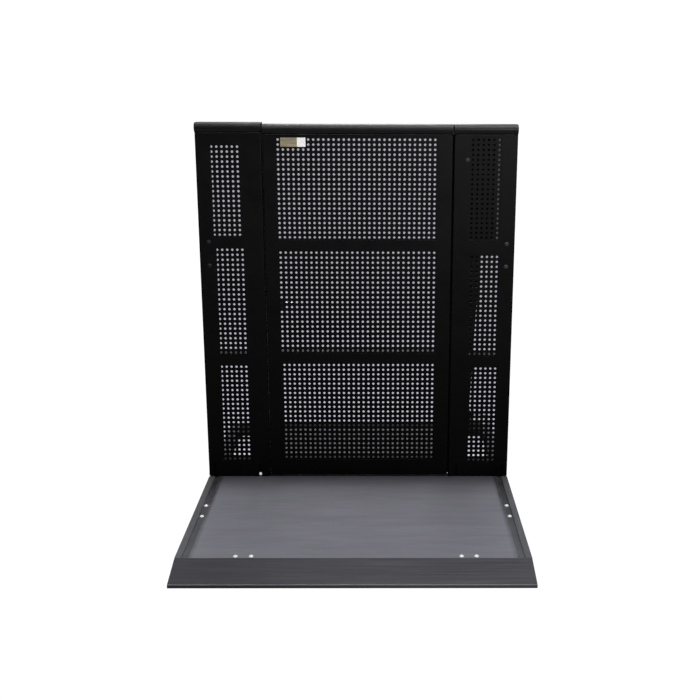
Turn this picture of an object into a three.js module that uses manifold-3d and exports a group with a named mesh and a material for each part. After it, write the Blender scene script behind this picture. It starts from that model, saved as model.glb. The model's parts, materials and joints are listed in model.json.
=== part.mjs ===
// Crowd-barrier door section: a folding pit barricade with a door between two fixed jambs.
// Units are millimetres. +X is to the right seen from the audience, +Y points to the stage side,
// +Z is up. The origin is on the floor, under the middle of the upright's front face.
import * as THREE from 'three';
import { mergeVertices } from 'three/addons/utils/BufferGeometryUtils.js';
import Module from 'manifold-3d';

const wasm = await Module();
wasm.setup();

// ---------- driving dimensions ----------
const HALF_WIDTH = 500;          // the section is one metre wide
const HEIGHT = 1200;             // floor to the top of the hand rail
const DECK_TOP = 35.5;           // height of the tread plates
const FRONT_DECK_DEPTH = 552;    // upright to the start of the toe ramp
const RAMP_DEPTH = 101.5;
const RAMP_LIP = 10.5;           // height of the ramp's front lip
const REAR_DEPTH = 500;          // upright to the stage-side end of the base
const FRAME_DEPTH = 40;          // square tube of jambs and door
const JAMB_BOTTOM = 36;
const DOOR_BOTTOM = 39;
const LEFT_LIFT = 5;             // the left jamb stands a little higher than its neighbour
const LEFT_SEAM = -293.5;        // middle of the gap between left jamb and door
const RIGHT_SEAM = 300.5;        // middle of the gap between door and right jamb
const HALF_SEAM = 1.5;

const RAIL_HEIGHT = 32;
const RAIL_NOSE = 8;             // how far the rounded rail stands in front of the upright
const RAIL_BACK = 44;
const RAIL_SIDE_EASE = 6;        // radius of the rail's two stage-side edges

const SIDE_RAIL = 38;            // width of the base's side rails
const RAIL_WALL = 3;
const PLATE = 4;                 // tread plate thickness
const PAD = 3;                   // rubber under the base
const BEAM_TOP = DECK_TOP - PLATE;
const CENTRE_BEAM_TOP = 29;      // low enough for the jamb's foot to roll over it

const FOLD = { y: 20, z: 72 };   // axis on which the upright folds down over the deck
const PIN_RADIUS = 6;
const BORE_RADIUS = 6.5;
const EAR = { radius: 11, half: 4, inner: 328, outer: 480 };   // fold ears, inner and outer pair

const STRUT = { size: 40, top: { y: 66, z: 1060 }, foot: { y: 455, z: 70 } };
const LEFT_STRUT_X = -336;
const RIGHT_STRUT_X = 388;
const STRUT_GAP = 1;             // side play between a strut and its ears
const STRUT_EAR = 6;
const LOCK_RADIUS = 4;
const LOCK_UP_STRUT = 24;        // distance of the lock hole from the foot pin

const HINGE = { x: RIGHT_SEAM, y: 56, barrel: 9, pin: 5, heights: [300, 900], length: 100 };
const LATCH = { y: 51, z: 620, radius: 6 };
const DROP = { x: -262, y: 54, radius: 6, top: 330 };
const SHEET = { front: 1.5, back: 3.5 };
const STIFFENER = { back: FRAME_DEPTH + 3, x: [347, 445], z: [832, 1166] };
const SEAL = { width: 2.5, y: [22, 36] };        // rubber strip on the door's hinge edge
const LABEL = { x: [-236, -158], z: [1131, 1159], thickness: 1 };
const ROUND = 16;                // facets of a small cylinder

// Screws with low round heads.
const BOLT_RADIUS = 5.5;         // holes
const SHANK_RADIUS = 5;
const HEAD_RADIUS = 8;
const RAIL_HEAD_RADIUS = 6.5;
const HEAD_HEIGHT = 3.5;
const HEAD_GAP = 0.5;            // between a head, or its backing strip, and the plate
const RAIL_SCREW_X = 471.5;      // distance of the side rail's screws from the middle
const RAIL_SCREWS_Y = [-289, -216];
const RAMP_SCREWS_Y = -543;
const RAMP_SCREWS_X = { left: [-331, -287], right: [303, 345] };
const COUPLINGS = {              // (x, z) of the screws that join two sections side by side
  left: [[-469, 757], [-469, 833]],
  right: [[474.5, 754], [474.5, 827]],
};

// Window openings: x range and z range of each perforated sheet.
const LEFT_WINDOWS = {
  top: [[-458, -362], [847, 1139]],
  middle: [[-452, -356], [459, 815]],
  bottom: [[-452, -356], [90, 427]],
};
const DOOR_WINDOWS = {
  top: [[-252, 251.5], [839, 1161]],
  middle: [[-251, 253], [466, 806]],
  bottom: [[-247, 252.5], [96, 433]],
};
const RIGHT_WINDOWS = {
  top: [[353, 451], [839, 1161]],
  middle: [[357, 453], [455, 793]],
  bottom: [[362, 458], [86, 421]],
};

// ---------- materials ----------
const finish = (color, roughness, metalness) =>
  () => new THREE.MeshStandardMaterial({ color, roughness, metalness });
const blackPaint = finish(0x141415, 0.55, 0.2);
const deckGrey = finish(0x6f6e76, 0.5, 0.8);
const zinc = finish(0xb4b4b6, 0.35, 0.9);
const rubber = finish(0x1a1a1a, 0.9, 0.0);
const labelPaint = finish(0x8f8560, 0.5, 0.1);
const sheetPaint = finish(0x101011, 0.6, 0.2);

// ---------- geometry helpers ----------
function toSolid(geometry) {
  const bare = geometry.clone();
  bare.deleteAttribute('normal');
  bare.deleteAttribute('uv');
  const merged = mergeVertices(bare);
  return new wasm.Manifold(new wasm.Mesh({
    numProp: 3,
    vertProperties: new Float32Array(merged.attributes.position.array),
    triVerts: new Uint32Array(merged.index.array),
  }));
}

function toGeometry(manifold) {
  const mesh = manifold.getMesh();
  const geometry = new THREE.BufferGeometry();
  geometry.setAttribute('position', new THREE.BufferAttribute(mesh.vertProperties, 3));
  geometry.setIndex(new THREE.BufferAttribute(mesh.triVerts, 1));
  geometry.computeVertexNormals();
  return geometry;
}

const join = (first, ...rest) =>
  toGeometry(rest.reduce((sum, piece) => sum.add(toSolid(piece)), toSolid(first)));
const cut = (first, ...tools) =>
  toGeometry(tools.reduce((sum, tool) => sum.subtract(toSolid(tool)), toSolid(first)));

function slab([x0, x1], [y0, y1], [z0, z1]) {
  const geometry = new THREE.BoxGeometry(x1 - x0, y1 - y0, z1 - z0);
  return geometry.translate((x0 + x1) / 2, (y0 + y1) / 2, (z0 + z1) / 2);
}

// Round bar along one axis, from a to b; the centre gives the other two coordinates in x, y, z order.
function bar(axis, radius, [a, b], [u, v]) {
  const geometry = new THREE.CylinderGeometry(radius, radius, b - a, ROUND);
  const middle = (a + b) / 2;
  if (axis === 'x') {
    return geometry.rotateZ(Math.PI / 2).translate(middle, u, v);
  }
  if (axis === 'y') {
    return geometry.translate(u, middle, v);
  }
  return geometry.rotateX(Math.PI / 2).translate(u, v, middle);
}

function shapeOf(points) {
  return new THREE.Shape(points.map(([u, v]) => new THREE.Vector2(u, v)));
}

// Extrudes an outline drawn in (y, z) along X.
function alongX(shape, [x0, x1], curveSegments = 10) {
  const geometry = new THREE.ExtrudeGeometry(shape, {
    depth: x1 - x0, bevelEnabled: false, curveSegments,
  });
  const basis = new THREE.Matrix4().makeBasis(
    new THREE.Vector3(0, 1, 0), new THREE.Vector3(0, 0, 1), new THREE.Vector3(1, 0, 0));
  return geometry.applyMatrix4(basis).translate(x0, 0, 0);
}

// Ear plate: stands on z0, rounded about (y, z), extruded over an x range.
function ear([x0, x1], y, z, radius, z0) {
  const shape = new THREE.Shape();
  shape.moveTo(y - radius, z0);
  shape.lineTo(y + radius, z0);
  shape.lineTo(y + radius, z);
  shape.absarc(y, z, radius, 0, Math.PI, false);
  shape.lineTo(y - radius, z0);
  return alongX(shape, [x0, x1], 8);
}

const mirrored = ([a, b]) => [-b, -a];
const ordered = (a, b) => (a < b ? [a, b] : [b, a]);

const barrier = new THREE.Group();
const bodies = {};
for (const name of ['base', 'left_jamb', 'right_jamb', 'door', 'left_strut', 'right_strut']) {
  bodies[name] = new THREE.Group();
  barrier.add(bodies[name]);
}

function add(body, name, geometry, material) {
  const mesh = new THREE.Mesh(geometry, material());
  mesh.name = name;
  bodies[body].add(mesh);
  return mesh;
}

// ---------- base ----------
const INNER = HALF_WIDTH - SIDE_RAIL - 0.5;      // deck and beams end here, beside the side rails
const REAR_DECK = { half: 350, end: 444, flange: 24 };

const GROOVE = { from: 463, to: 481, depth: 4 };   // sunk strip along the top of each side rail
const GROOVE_FLOOR = DECK_TOP - GROOVE.depth;

// Two screws through a plate, joined underneath by their backing strip.
function screwPair(points, plateBottom, plateTop, headRadius = HEAD_RADIUS) {
  const [[xa, ya], [xb, yb]] = points;
  const strip = slab([Math.min(xa, xb) - headRadius, Math.max(xa, xb) + headRadius],
    [Math.min(ya, yb) - headRadius, Math.max(ya, yb) + headRadius],
    [plateBottom - PLATE, plateBottom - HEAD_GAP]);
  const screws = points.flatMap(([x, y]) => [
    bar('z', SHANK_RADIUS, [plateBottom - 2, plateTop + 2], [x, y]),
    bar('z', headRadius, [plateTop + HEAD_GAP, plateTop + HEAD_HEIGHT], [x, y]),
  ]);
  return join(strip, ...screws);
}

const SADDLE_Y = [-1, 42];       // the upright's foot rolls through this low stretch
const BORE_PAST = 10;            // how far a cutting bar runs past the piece it cuts

const foldEar = (x, z0) => ear([x - EAR.half, x + EAR.half], FOLD.y, FOLD.z, EAR.radius, z0);
const foldBore = (x) =>
  bar('x', BORE_RADIUS, [x - BORE_PAST, x + BORE_PAST], [FOLD.y, FOLD.z]);

// Tube with a sunk strip along its top for the screws, and a low saddle under the upright, where its
// fold ear stands on the lower wall. The range runs outwards on the right; the left one is mirrored.
function sideRail(sign) {
  const at = (range) => (sign > 0 ? range : mirrored(range));
  const y = [-FRONT_DECK_DEPTH, REAR_DEPTH];
  const beyond = [y[0] - 1, y[1] + 1];
  const [x0, x1] = [HALF_WIDTH - SIDE_RAIL, HALF_WIDTH];
  const outer = slab(at([x0, x1]), y, [PAD, DECK_TOP]);
  const hollow = slab(at([x0 + RAIL_WALL, x1 - RAIL_WALL]), beyond,
    [PAD + RAIL_WALL, GROOVE_FLOOR - PLATE]);
  const groove = slab(at([GROOVE.from, GROOVE.to]), beyond, [GROOVE_FLOOR, DECK_TOP + 1]);
  const saddle = slab(at([x0 - 1, x1 + 1]), SADDLE_Y, [CENTRE_BEAM_TOP, DECK_TOP + 1]);
  const holes = RAIL_SCREWS_Y.map((place) =>
    bar('z', BOLT_RADIUS, [GROOVE_FLOOR - BORE_PAST, DECK_TOP], [sign * RAIL_SCREW_X, place]));
  const tube = cut(outer, hollow, groove, saddle, ...holes);
  const earX = sign * EAR.outer;
  return cut(join(tube, foldEar(earX, PAD + 1)), foldBore(earX));
}

const SIDES = [['left', -1], ['right', 1]];
const SIDE_PAD = { x: [466, 496], y: [-540, 490] };
const CENTRE_PAD = { x: [-200, 200], y: [-8, 36] };
for (const [side, sign] of SIDES) {
  add('base', `side_rail_${side}`, sideRail(sign), deckGrey);
  const points = RAIL_SCREWS_Y.map((y) => [sign * RAIL_SCREW_X, y]);
  add('base', `rail_screws_${side}`,
    screwPair(points, GROOVE_FLOOR - PLATE, GROOVE_FLOOR, RAIL_HEAD_RADIUS), zinc);
  const pad = slab(sign > 0 ? SIDE_PAD.x : mirrored(SIDE_PAD.x), SIDE_PAD.y, [0, PAD]);
  add('base', `floor_pad_${side}`, pad, rubber);
}

const DECK_GAP = 0.5;
const deckHoles = [...RAMP_SCREWS_X.left, ...RAMP_SCREWS_X.right]
  .map((x) => bar('z', BOLT_RADIUS, [BEAM_TOP - 2, DECK_TOP + 2], [x, RAMP_SCREWS_Y]));
add('base', 'front_deck', cut(
  slab([-INNER, INNER], [-FRONT_DECK_DEPTH, -1], [BEAM_TOP, DECK_TOP]), ...deckHoles), deckGrey);
for (const side of ['left', 'right']) {
  const points = RAMP_SCREWS_X[side].map((x) => [x, RAMP_SCREWS_Y]);
  add('base', `ramp_screws_${side}`, screwPair(points, BEAM_TOP, DECK_TOP), zinc);
}

// Ramp: a folded plate that rises from its lip to the deck.
const rampEnd = -FRONT_DECK_DEPTH - RAMP_DEPTH;
const LIP_EASE = 3;
const LIP_CLEARANCE = 0.5;       // between the lip and the floor
const rampShape = new THREE.Shape();
rampShape.moveTo(-FRONT_DECK_DEPTH - DECK_GAP, DECK_TOP);
rampShape.lineTo(rampEnd + LIP_EASE, RAMP_LIP + LIP_EASE / 4);
rampShape.quadraticCurveTo(rampEnd, RAMP_LIP, rampEnd, RAMP_LIP - LIP_EASE);
rampShape.lineTo(rampEnd, LIP_CLEARANCE);
rampShape.lineTo(rampEnd + PLATE, LIP_CLEARANCE);
rampShape.lineTo(rampEnd + PLATE, RAMP_LIP - PLATE);
rampShape.lineTo(-FRONT_DECK_DEPTH - DECK_GAP, BEAM_TOP);
rampShape.closePath();
add('base', 'toe_ramp', alongX(rampShape, [-HALF_WIDTH, HALF_WIDTH], 6), deckGrey);

// Beams across the base.
const BEAM = 40;
const BEAM_START = { front_beam: -520, deck_beam: -280 };
const beamX = [-INNER, INNER];
for (const [name, y] of Object.entries(BEAM_START)) {
  add('base', name, slab(beamX, [y, y + BEAM], [PAD, BEAM_TOP]), blackPaint);
}

const centreBeam = join(slab(beamX, [0, BEAM], [PAD, CENTRE_BEAM_TOP]),
  foldEar(-EAR.inner, CENTRE_BEAM_TOP - 1), foldEar(EAR.inner, CENTRE_BEAM_TOP - 1));
add('base', 'centre_beam', cut(centreBeam, foldBore(-EAR.inner), foldBore(EAR.inner)), blackPaint);
add('base', 'floor_pad_centre', slab(CENTRE_PAD.x, CENTRE_PAD.y, [0, PAD]), rubber);

// Rear deck: a folded plate whose sides are turned down, with the socket hole of the drop bolt.
const deckX = REAR_DECK.half;
const deckOuter = slab([-deckX, deckX], [BEAM + DECK_GAP, REAR_DECK.end - DECK_GAP],
  [DECK_TOP - REAR_DECK.flange, DECK_TOP]);
const deckInner = slab([-deckX + PLATE, deckX - PLATE], [0, REAR_DEPTH],
  [0, BEAM_TOP]);
const socket = bar('z', DROP.radius + 1, [BEAM_TOP - 2, DECK_TOP + 2], [DROP.x, DROP.y]);
add('base', 'rear_deck', cut(deckOuter, deckInner, socket), deckGrey);

// Rear beam: carries both strut feet, with a corner plate in front of each foot.
const STRUT_SIDES = { left: LEFT_STRUT_X, right: RIGHT_STRUT_X };
const earOffset = STRUT.size / 2 + STRUT_GAP;
// Foot ear outline in (y, z): from the beam up past the foot pin, leaning forward to the lock hole.
const footEarShape = shapeOf([
  [445, BEAM_TOP], [475, BEAM_TOP], [475, 80], [462, 106], [434, 106], [434, 84], [445, 60]]);
const footEars = [];
const lockBores = [];
const lockAngle = Math.atan2(STRUT.foot.y - STRUT.top.y, STRUT.top.z - STRUT.foot.z);
const lockPlace = [
  STRUT.foot.y - LOCK_UP_STRUT * Math.sin(lockAngle),
  STRUT.foot.z + LOCK_UP_STRUT * Math.cos(lockAngle)];
const BUSH = { radius: 9, length: 14 };
const PIN_HALF = 30;             // half the length of a strut's pins
const STRUT_BORE_HALF = 60;
for (const [side, sign] of SIDES) {
  const x = STRUT_SIDES[side];
  for (const inner of [-1, 1]) {
    const near = x + inner * earOffset;
    const range = inner > 0 ? [near, near + STRUT_EAR] : [near - STRUT_EAR, near];
    footEars.push(alongX(footEarShape, range));
  }
  const face = x + sign * (earOffset + STRUT_EAR);
  const bush = sign > 0 ? [face - 1, face + BUSH.length] : [face - BUSH.length, face + 1];
  footEars.push(bar('x', BUSH.radius, bush, lockPlace));
  const bore = [x - STRUT_BORE_HALF, x + STRUT_BORE_HALF];
  lockBores.push(bar('x', LOCK_RADIUS + 0.6, bore, lockPlace));
  lockBores.push(bar('x', BORE_RADIUS, bore, [STRUT.foot.y, STRUT.foot.z]));
}
const CORNER = { x: [REAR_DECK.half + 2, INNER], start: 400, thickness: 6 };
const corners = [CORNER.x, mirrored(CORNER.x)].map((range) =>
  slab(range, [CORNER.start, REAR_DECK.end + 1], [DECK_TOP - CORNER.thickness, DECK_TOP]));
add('base', 'rear_beam', cut(
  join(slab(beamX, [REAR_DECK.end, REAR_DEPTH], [PAD, DECK_TOP]), ...corners, ...footEars),
  ...lockBores), blackPaint);

const FOLD_PIN_X = [EAR.inner - 14, EAR.outer + 10];
for (const [side, sign] of SIDES) {
  add('base', `fold_pin_${side}`, bar('x', PIN_RADIUS, sign > 0 ? FOLD_PIN_X : mirrored(FOLD_PIN_X),
    [FOLD.y, FOLD.z]), zinc);
  const x = STRUT_SIDES[side];
  add('base', `strut_foot_pin_${side}`, bar('x', PIN_RADIUS, [x - PIN_HALF, x + PIN_HALF],
    [STRUT.foot.y, STRUT.foot.z]), zinc);
}

// ---------- upright ----------
// Rail outline in (y, z): a full round towards the audience, eased edges at the back.
function railGeometry(range, lift) {
  const radius = RAIL_HEIGHT / 2;
  const centre = [radius - RAIL_NOSE, HEIGHT + lift - radius];
  const low = HEIGHT + lift - RAIL_HEIGHT;
  const top = HEIGHT + lift;
  const shape = new THREE.Shape();
  shape.moveTo(centre[0], low);
  shape.lineTo(RAIL_BACK - RAIL_SIDE_EASE, low);
  shape.absarc(RAIL_BACK - RAIL_SIDE_EASE, low + RAIL_SIDE_EASE, RAIL_SIDE_EASE,
    -Math.PI / 2, 0, false);
  shape.absarc(RAIL_BACK - RAIL_SIDE_EASE, top - RAIL_SIDE_EASE, RAIL_SIDE_EASE,
    0, Math.PI / 2, false);
  shape.absarc(centre[0], centre[1], radius, Math.PI / 2, Math.PI * 1.5, false);
  return alongX(shape, range, 12);
}

const windowCut = ([x, z]) => slab(x, [-1, FRAME_DEPTH + 1], z);

const SLOT_HALF = EAR.half + 1;
const SLOT_REAR = FOLD.y + EAR.radius + 1.5;
const SLOT_TOP = FOLD.z + EAR.radius + 1;
// Slot for a fold ear, open to the front and below so that the frame can turn forward about the pin.
const earSlot = (x) =>
  slab([x - SLOT_HALF, x + SLOT_HALF], [-1, SLOT_REAR], [JAMB_BOTTOM - 1, SLOT_TOP]);

function jambFrame(range, windows, lift, couplings, sign) {
  const blank = slab(range, [0, FRAME_DEPTH], [JAMB_BOTTOM, HEIGHT + lift - RAIL_HEIGHT]);
  const pinX = [FOLD_PIN_X[0] - 1, FOLD_PIN_X[1] + 1];
  return cut(blank, ...Object.values(windows).map(windowCut),
    earSlot(sign * EAR.inner), earSlot(sign * EAR.outer),
    bar('x', BORE_RADIUS, sign > 0 ? pinX : mirrored(pinX), [FOLD.y, FOLD.z]),
    ...couplings.map(([x, z]) => bar('y', BOLT_RADIUS, [-1, FRAME_DEPTH + 1], [x, z])));
}

const sheet = ([x, z]) => slab(x, [SHEET.front, SHEET.back], z);

const WASHER = { side: 11, end: 14, thickness: 4 };
// Two screws through a jamb, joined at the back by their washer plate.
function couplingScrews(places) {
  const x = places[0][0];
  const zs = places.map(([, z]) => z);
  const back = slab([x - WASHER.side, x + WASHER.side],
    [FRAME_DEPTH + HEAD_GAP, FRAME_DEPTH + WASHER.thickness],
    [Math.min(...zs) - WASHER.end, Math.max(...zs) + WASHER.end]);
  const screws = places.flatMap(([u, z]) => [
    bar('y', SHANK_RADIUS, [-2, FRAME_DEPTH + 2], [u, z]),
    bar('y', HEAD_RADIUS, [-3, -HEAD_GAP], [u, z]),
  ]);
  return join(back, ...screws);
}

const leftJambX = [-HALF_WIDTH, LEFT_SEAM - HALF_SEAM];
const rightJambX = [RIGHT_SEAM + HALF_SEAM, HALF_WIDTH];
const doorX = [LEFT_SEAM + HALF_SEAM, RIGHT_SEAM - HALF_SEAM];

add('left_jamb', 'left_jamb_frame',
  jambFrame(leftJambX, LEFT_WINDOWS, LEFT_LIFT, COUPLINGS.left, -1), blackPaint);
add('left_jamb', 'left_jamb_rail', railGeometry(leftJambX, LEFT_LIFT), blackPaint);
add('left_jamb', 'left_coupling_screws', couplingScrews(COUPLINGS.left), zinc);
add('right_jamb', 'right_jamb_frame',
  jambFrame(rightJambX, RIGHT_WINDOWS, 0, COUPLINGS.right, 1), blackPaint);
add('right_jamb', 'right_jamb_rail', railGeometry(rightJambX, 0), blackPaint);
add('right_jamb', 'right_coupling_screws', couplingScrews(COUPLINGS.right), zinc);
for (const level of ['top', 'middle', 'bottom']) {
  add('left_jamb', `left_jamb_sheet_${level}`, sheet(LEFT_WINDOWS[level]), sheetPaint);
  add('right_jamb', `right_jamb_sheet_${level}`, sheet(RIGHT_WINDOWS[level]), sheetPaint);
  add('door', `door_sheet_${level}`, sheet(DOOR_WINDOWS[level]), sheetPaint);
}

// Stiffener behind the hinge side's top window.
add('right_jamb', 'right_jamb_stiffener',
  slab(STIFFENER.x, [FRAME_DEPTH, STIFFENER.back], STIFFENER.z), blackPaint);

// ---------- struts ----------
const EAR_TOP_RADIUS = 14;
const BRACKET = { half: 30, thickness: 2.5 };
// Bracket on the back of a jamb: a base plate with two ears beside the strut's head.
function strutBracket(x, face) {
  const half = earOffset + STRUT_EAR;
  const { y, z } = STRUT.top;
  const plate = slab([x - half, x + half], [face, face + BRACKET.thickness],
    [z - BRACKET.half, z + BRACKET.half]);
  const outline = shapeOf([[face + 1, z - 28], [y, z - EAR_TOP_RADIUS],
    [y + 10, z - 10], [y + EAR_TOP_RADIUS, z], [y + 10, z + 10], [y, z + EAR_TOP_RADIUS],
    [face + 1, z + 28]]);
  const ears = [x - half, x + earOffset].map((x0) => alongX(outline, [x0, x0 + STRUT_EAR]));
  return cut(join(plate, ...ears),
    bar('x', BORE_RADIUS, [x - STRUT_BORE_HALF, x + STRUT_BORE_HALF], [y, z]));
}

const strutRun = { y: STRUT.foot.y - STRUT.top.y, z: STRUT.foot.z - STRUT.top.z };
const STRUT_LENGTH = Math.hypot(strutRun.y, strutRun.z);
const STRUT_LEAN = Math.atan2(strutRun.y, -strutRun.z);
const FOOT_TAIL = 22;
const ESCAPE = 0.22;             // sideways part of the notch's direction, towards the stage

// Strut in its own frame: head pivot at the origin, foot pin at -STRUT_LENGTH on Z.
function strutGeometry(sign) {
  const half = STRUT.size / 2;
  const across = [-PIN_HALF, PIN_HALF];
  const shape = new THREE.Shape();
  shape.moveTo(-half, -STRUT_LENGTH - FOOT_TAIL);
  shape.lineTo(half, -STRUT_LENGTH - FOOT_TAIL);
  shape.lineTo(half, 0);
  shape.absarc(0, 0, half, 0, Math.PI, false);
  shape.lineTo(-half, -STRUT_LENGTH - FOOT_TAIL);
  const body = alongX(shape, [-half, half], 8);
  const drop = FOOT_TAIL + 2;
  const notch = alongX(shapeOf([[-BORE_RADIUS - 0.5, -STRUT_LENGTH],
    [-BORE_RADIUS - 1, -STRUT_LENGTH - drop],
    [BORE_RADIUS + 2 + ESCAPE * drop, -STRUT_LENGTH - drop],
    [BORE_RADIUS + 0.5, -STRUT_LENGTH]]), across);
  const seat = bar('x', BORE_RADIUS + 0.5, across, [0, -STRUT_LENGTH]);
  const headBore = bar('x', BORE_RADIUS, across, [0, 0]);
  const lockBore = bar('x', LOCK_RADIUS + 1, ordered(0, sign * PIN_HALF),
    [0, -STRUT_LENGTH + LOCK_UP_STRUT]);
  return cut(body, notch, seat, headBore, lockBore);
}

const LOCK = { tip: 3, length: 52, knob: 9, grip: 12 };
for (const [side, sign] of SIDES) {
  const x = STRUT_SIDES[side];
  const jamb = `${side}_jamb`;
  const face = side === 'right' ? STIFFENER.back : FRAME_DEPTH;
  add(jamb, `${side}_strut_bracket`, strutBracket(x, face), blackPaint);
  add(jamb, `${side}_strut_head_pin`,
    bar('x', PIN_RADIUS, [x - PIN_HALF, x + PIN_HALF], [STRUT.top.y, STRUT.top.z]), zinc);
  const group = bodies[`${side}_strut`];
  add(`${side}_strut`, `${side}_strut`, strutGeometry(sign), blackPaint);
  group.position.set(x, STRUT.top.y, STRUT.top.z);
  group.rotation.x = STRUT_LEAN;
  // Lock pin, drawn out: its tip waits inside the bush.
  const start = x + sign * (earOffset + STRUT_EAR + LOCK.tip);
  const end = start + sign * LOCK.length;
  const knobStart = end - sign * LOCK.grip;
  add('base', `${side}_lock_pin`, join(bar('x', LOCK_RADIUS, ordered(start, end), lockPlace),
    bar('x', LOCK.knob, ordered(knobStart, end), lockPlace)), zinc);
}

// ---------- door ----------
const doorBlank = slab(doorX, [0, FRAME_DEPTH], [DOOR_BOTTOM, HEIGHT - RAIL_HEIGHT]);
add('door', 'door_frame', cut(doorBlank, ...Object.values(DOOR_WINDOWS).map(windowCut)), blackPaint);
add('door', 'door_rail', railGeometry(doorX, 0), blackPaint);
add('door', 'label_plate',
  slab(LABEL.x, [SHEET.front - LABEL.thickness, SHEET.front], LABEL.z), labelPaint);
add('door', 'door_edge_seal',
  slab([doorX[1], doorX[1] + SEAL.width], SEAL.y, [DOOR_BOTTOM, HEIGHT - RAIL_HEIGHT]), rubber);

// Hinges: each has a leaf on the jamb with two knuckles, a leaf on the door with one, and a pin.
const LEAF = { thick: 3, width: 42, step: 2.5, neck: 7 };
const KNUCKLE_GAP = 0.5;
function hingeLeaf(sign, z, knuckles) {
  const { x, y, barrel, length, pin } = HINGE;
  const near = x + sign * LEAF.step;
  const plate = slab(ordered(near, near + sign * LEAF.width), [FRAME_DEPTH, FRAME_DEPTH + LEAF.thick],
    [z - length / 2, z + length / 2]);
  const parts = knuckles.flatMap(([z0, z1]) => [
    slab(ordered(near, near + sign * LEAF.neck), [FRAME_DEPTH, y + 1], [z + z0, z + z1]),
    bar('z', barrel, [z + z0, z + z1], [x, y]),
  ]);
  return cut(join(plate, ...parts), bar('z', pin + 0.5, [z - length, z + length], [x, y]));
}

for (const [index, z] of HINGE.heights.entries()) {
  const name = index === 0 ? 'lower' : 'upper';
  const half = HINGE.length / 2;
  const outer = [[-half, -half / 2 - KNUCKLE_GAP], [half / 2 + KNUCKLE_GAP, half]];
  add('right_jamb', `${name}_hinge_jamb_leaf`, hingeLeaf(1, z, outer), blackPaint);
  add('door', `${name}_hinge_door_leaf`, hingeLeaf(-1, z, [[-half / 2, half / 2]]), blackPaint);
  const shaft = bar('z', HINGE.pin, [z - half - 1, z + half + 3], [HINGE.x, HINGE.y]);
  const head = bar('z', HINGE.barrel, [z + half + 0.5, z + half + 5], [HINGE.x, HINGE.y]);
  add('right_jamb', `${name}_hinge_pin`, join(shaft, head), zinc);
}

// Sliding latch on the door's back, and its keeper on the left jamb. Its x values are measured from
// the door's free edge.
const LATCH_PLATE = { thickness: 3, x: [4, 52], half: 16 };
const HOOP = { half: 11, reach: 10 };            // reach is measured from the bolt's axis
const LATCH_HOOPS = [[6, 20], [34, 46]];
const LATCH_BOLT = { tip: 5, length: 84, knob: 75 };
const KEEPER = { x: [-22, -5], half: 14 };
const KNOB = { radius: 4, reach: 28 };
const fromEdge = ([a, b]) => [doorX[0] + a, doorX[0] + b];
const plateBack = FRAME_DEPTH + LATCH_PLATE.thickness;
const latchHousing = join(
  slab(fromEdge(LATCH_PLATE.x), [FRAME_DEPTH, plateBack],
    [LATCH.z - LATCH_PLATE.half, LATCH.z + LATCH_PLATE.half]),
  ...LATCH_HOOPS.map((range) => slab(fromEdge(range), [FRAME_DEPTH + 1, LATCH.y + HOOP.reach],
    [LATCH.z - HOOP.half, LATCH.z + HOOP.half])));
const latchBore = fromEdge([-40, 140]);
add('door', 'latch_housing', cut(latchHousing,
  bar('x', LATCH.radius + 0.5, latchBore, [LATCH.y, LATCH.z])), zinc);
add('door', 'latch_bolt', join(
  bar('x', LATCH.radius, fromEdge([LATCH_BOLT.tip, LATCH_BOLT.tip + LATCH_BOLT.length]),
    [LATCH.y, LATCH.z]),
  bar('y', KNOB.radius, [LATCH.y, LATCH.y + KNOB.reach],
    [doorX[0] + LATCH_BOLT.tip + LATCH_BOLT.knob, LATCH.z])), zinc);
const keeper = slab(fromEdge(KEEPER.x), [FRAME_DEPTH, LATCH.y + HOOP.reach],
  [LATCH.z - KEEPER.half, LATCH.z + KEEPER.half]);
add('left_jamb', 'latch_keeper', cut(keeper,
  bar('x', LATCH.radius + 1, latchBore, [LATCH.y, LATCH.z])), zinc);

// Drop bolt at the door's free edge, raised, with its two guides on one back plate.
const DROP_GUIDES = [[70, 84], [250, 264]];
const DROP_PLATE = { half: 14, z: [60, 274] };
const DROP_TIP = 42;
const dropGuide = join(
  slab([DROP.x - DROP_PLATE.half, DROP.x + DROP_PLATE.half], [FRAME_DEPTH, plateBack],
    DROP_PLATE.z),
  ...DROP_GUIDES.map((z) => slab([DROP.x - HOOP.half, DROP.x + HOOP.half],
    [FRAME_DEPTH + 1, DROP.y + HOOP.reach], z)));
const dropAxis = [DROP.x, DROP.y];
add('door', 'drop_bolt_guide', cut(dropGuide,
  bar('z', DROP.radius + 0.5, [0, DROP.top + BORE_PAST], dropAxis)), zinc);
add('door', 'drop_bolt', join(bar('z', DROP.radius, [DROP_TIP, DROP.top], dropAxis),
  bar('y', KNOB.radius, [DROP.y, DROP.y + KNOB.reach], [DROP.x, DROP.top - KNOB.radius])), zinc);

// Pull handle on the door's back: a bent bar between two feet.
const HANDLE = { x: -271, low: 700, high: 860, reach: 44, radius: 7, bend: 18 };
const handlePoint = (reach, z) => new THREE.Vector3(HANDLE.x, FRAME_DEPTH + reach, z);
const handlePath = new THREE.CurvePath();
const straight = HANDLE.reach - HANDLE.bend;
const lowBend = [handlePoint(straight, HANDLE.low), handlePoint(HANDLE.reach, HANDLE.low),
  handlePoint(HANDLE.reach, HANDLE.low + HANDLE.bend)];
const highBend = [handlePoint(HANDLE.reach, HANDLE.high - HANDLE.bend),
  handlePoint(HANDLE.reach, HANDLE.high), handlePoint(straight, HANDLE.high)];
handlePath.add(new THREE.LineCurve3(handlePoint(0, HANDLE.low), lowBend[0]));
handlePath.add(new THREE.QuadraticBezierCurve3(...lowBend));
handlePath.add(new THREE.LineCurve3(lowBend[2], highBend[0]));
handlePath.add(new THREE.QuadraticBezierCurve3(...highBend));
handlePath.add(new THREE.LineCurve3(highBend[2], handlePoint(0, HANDLE.high)));
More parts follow.
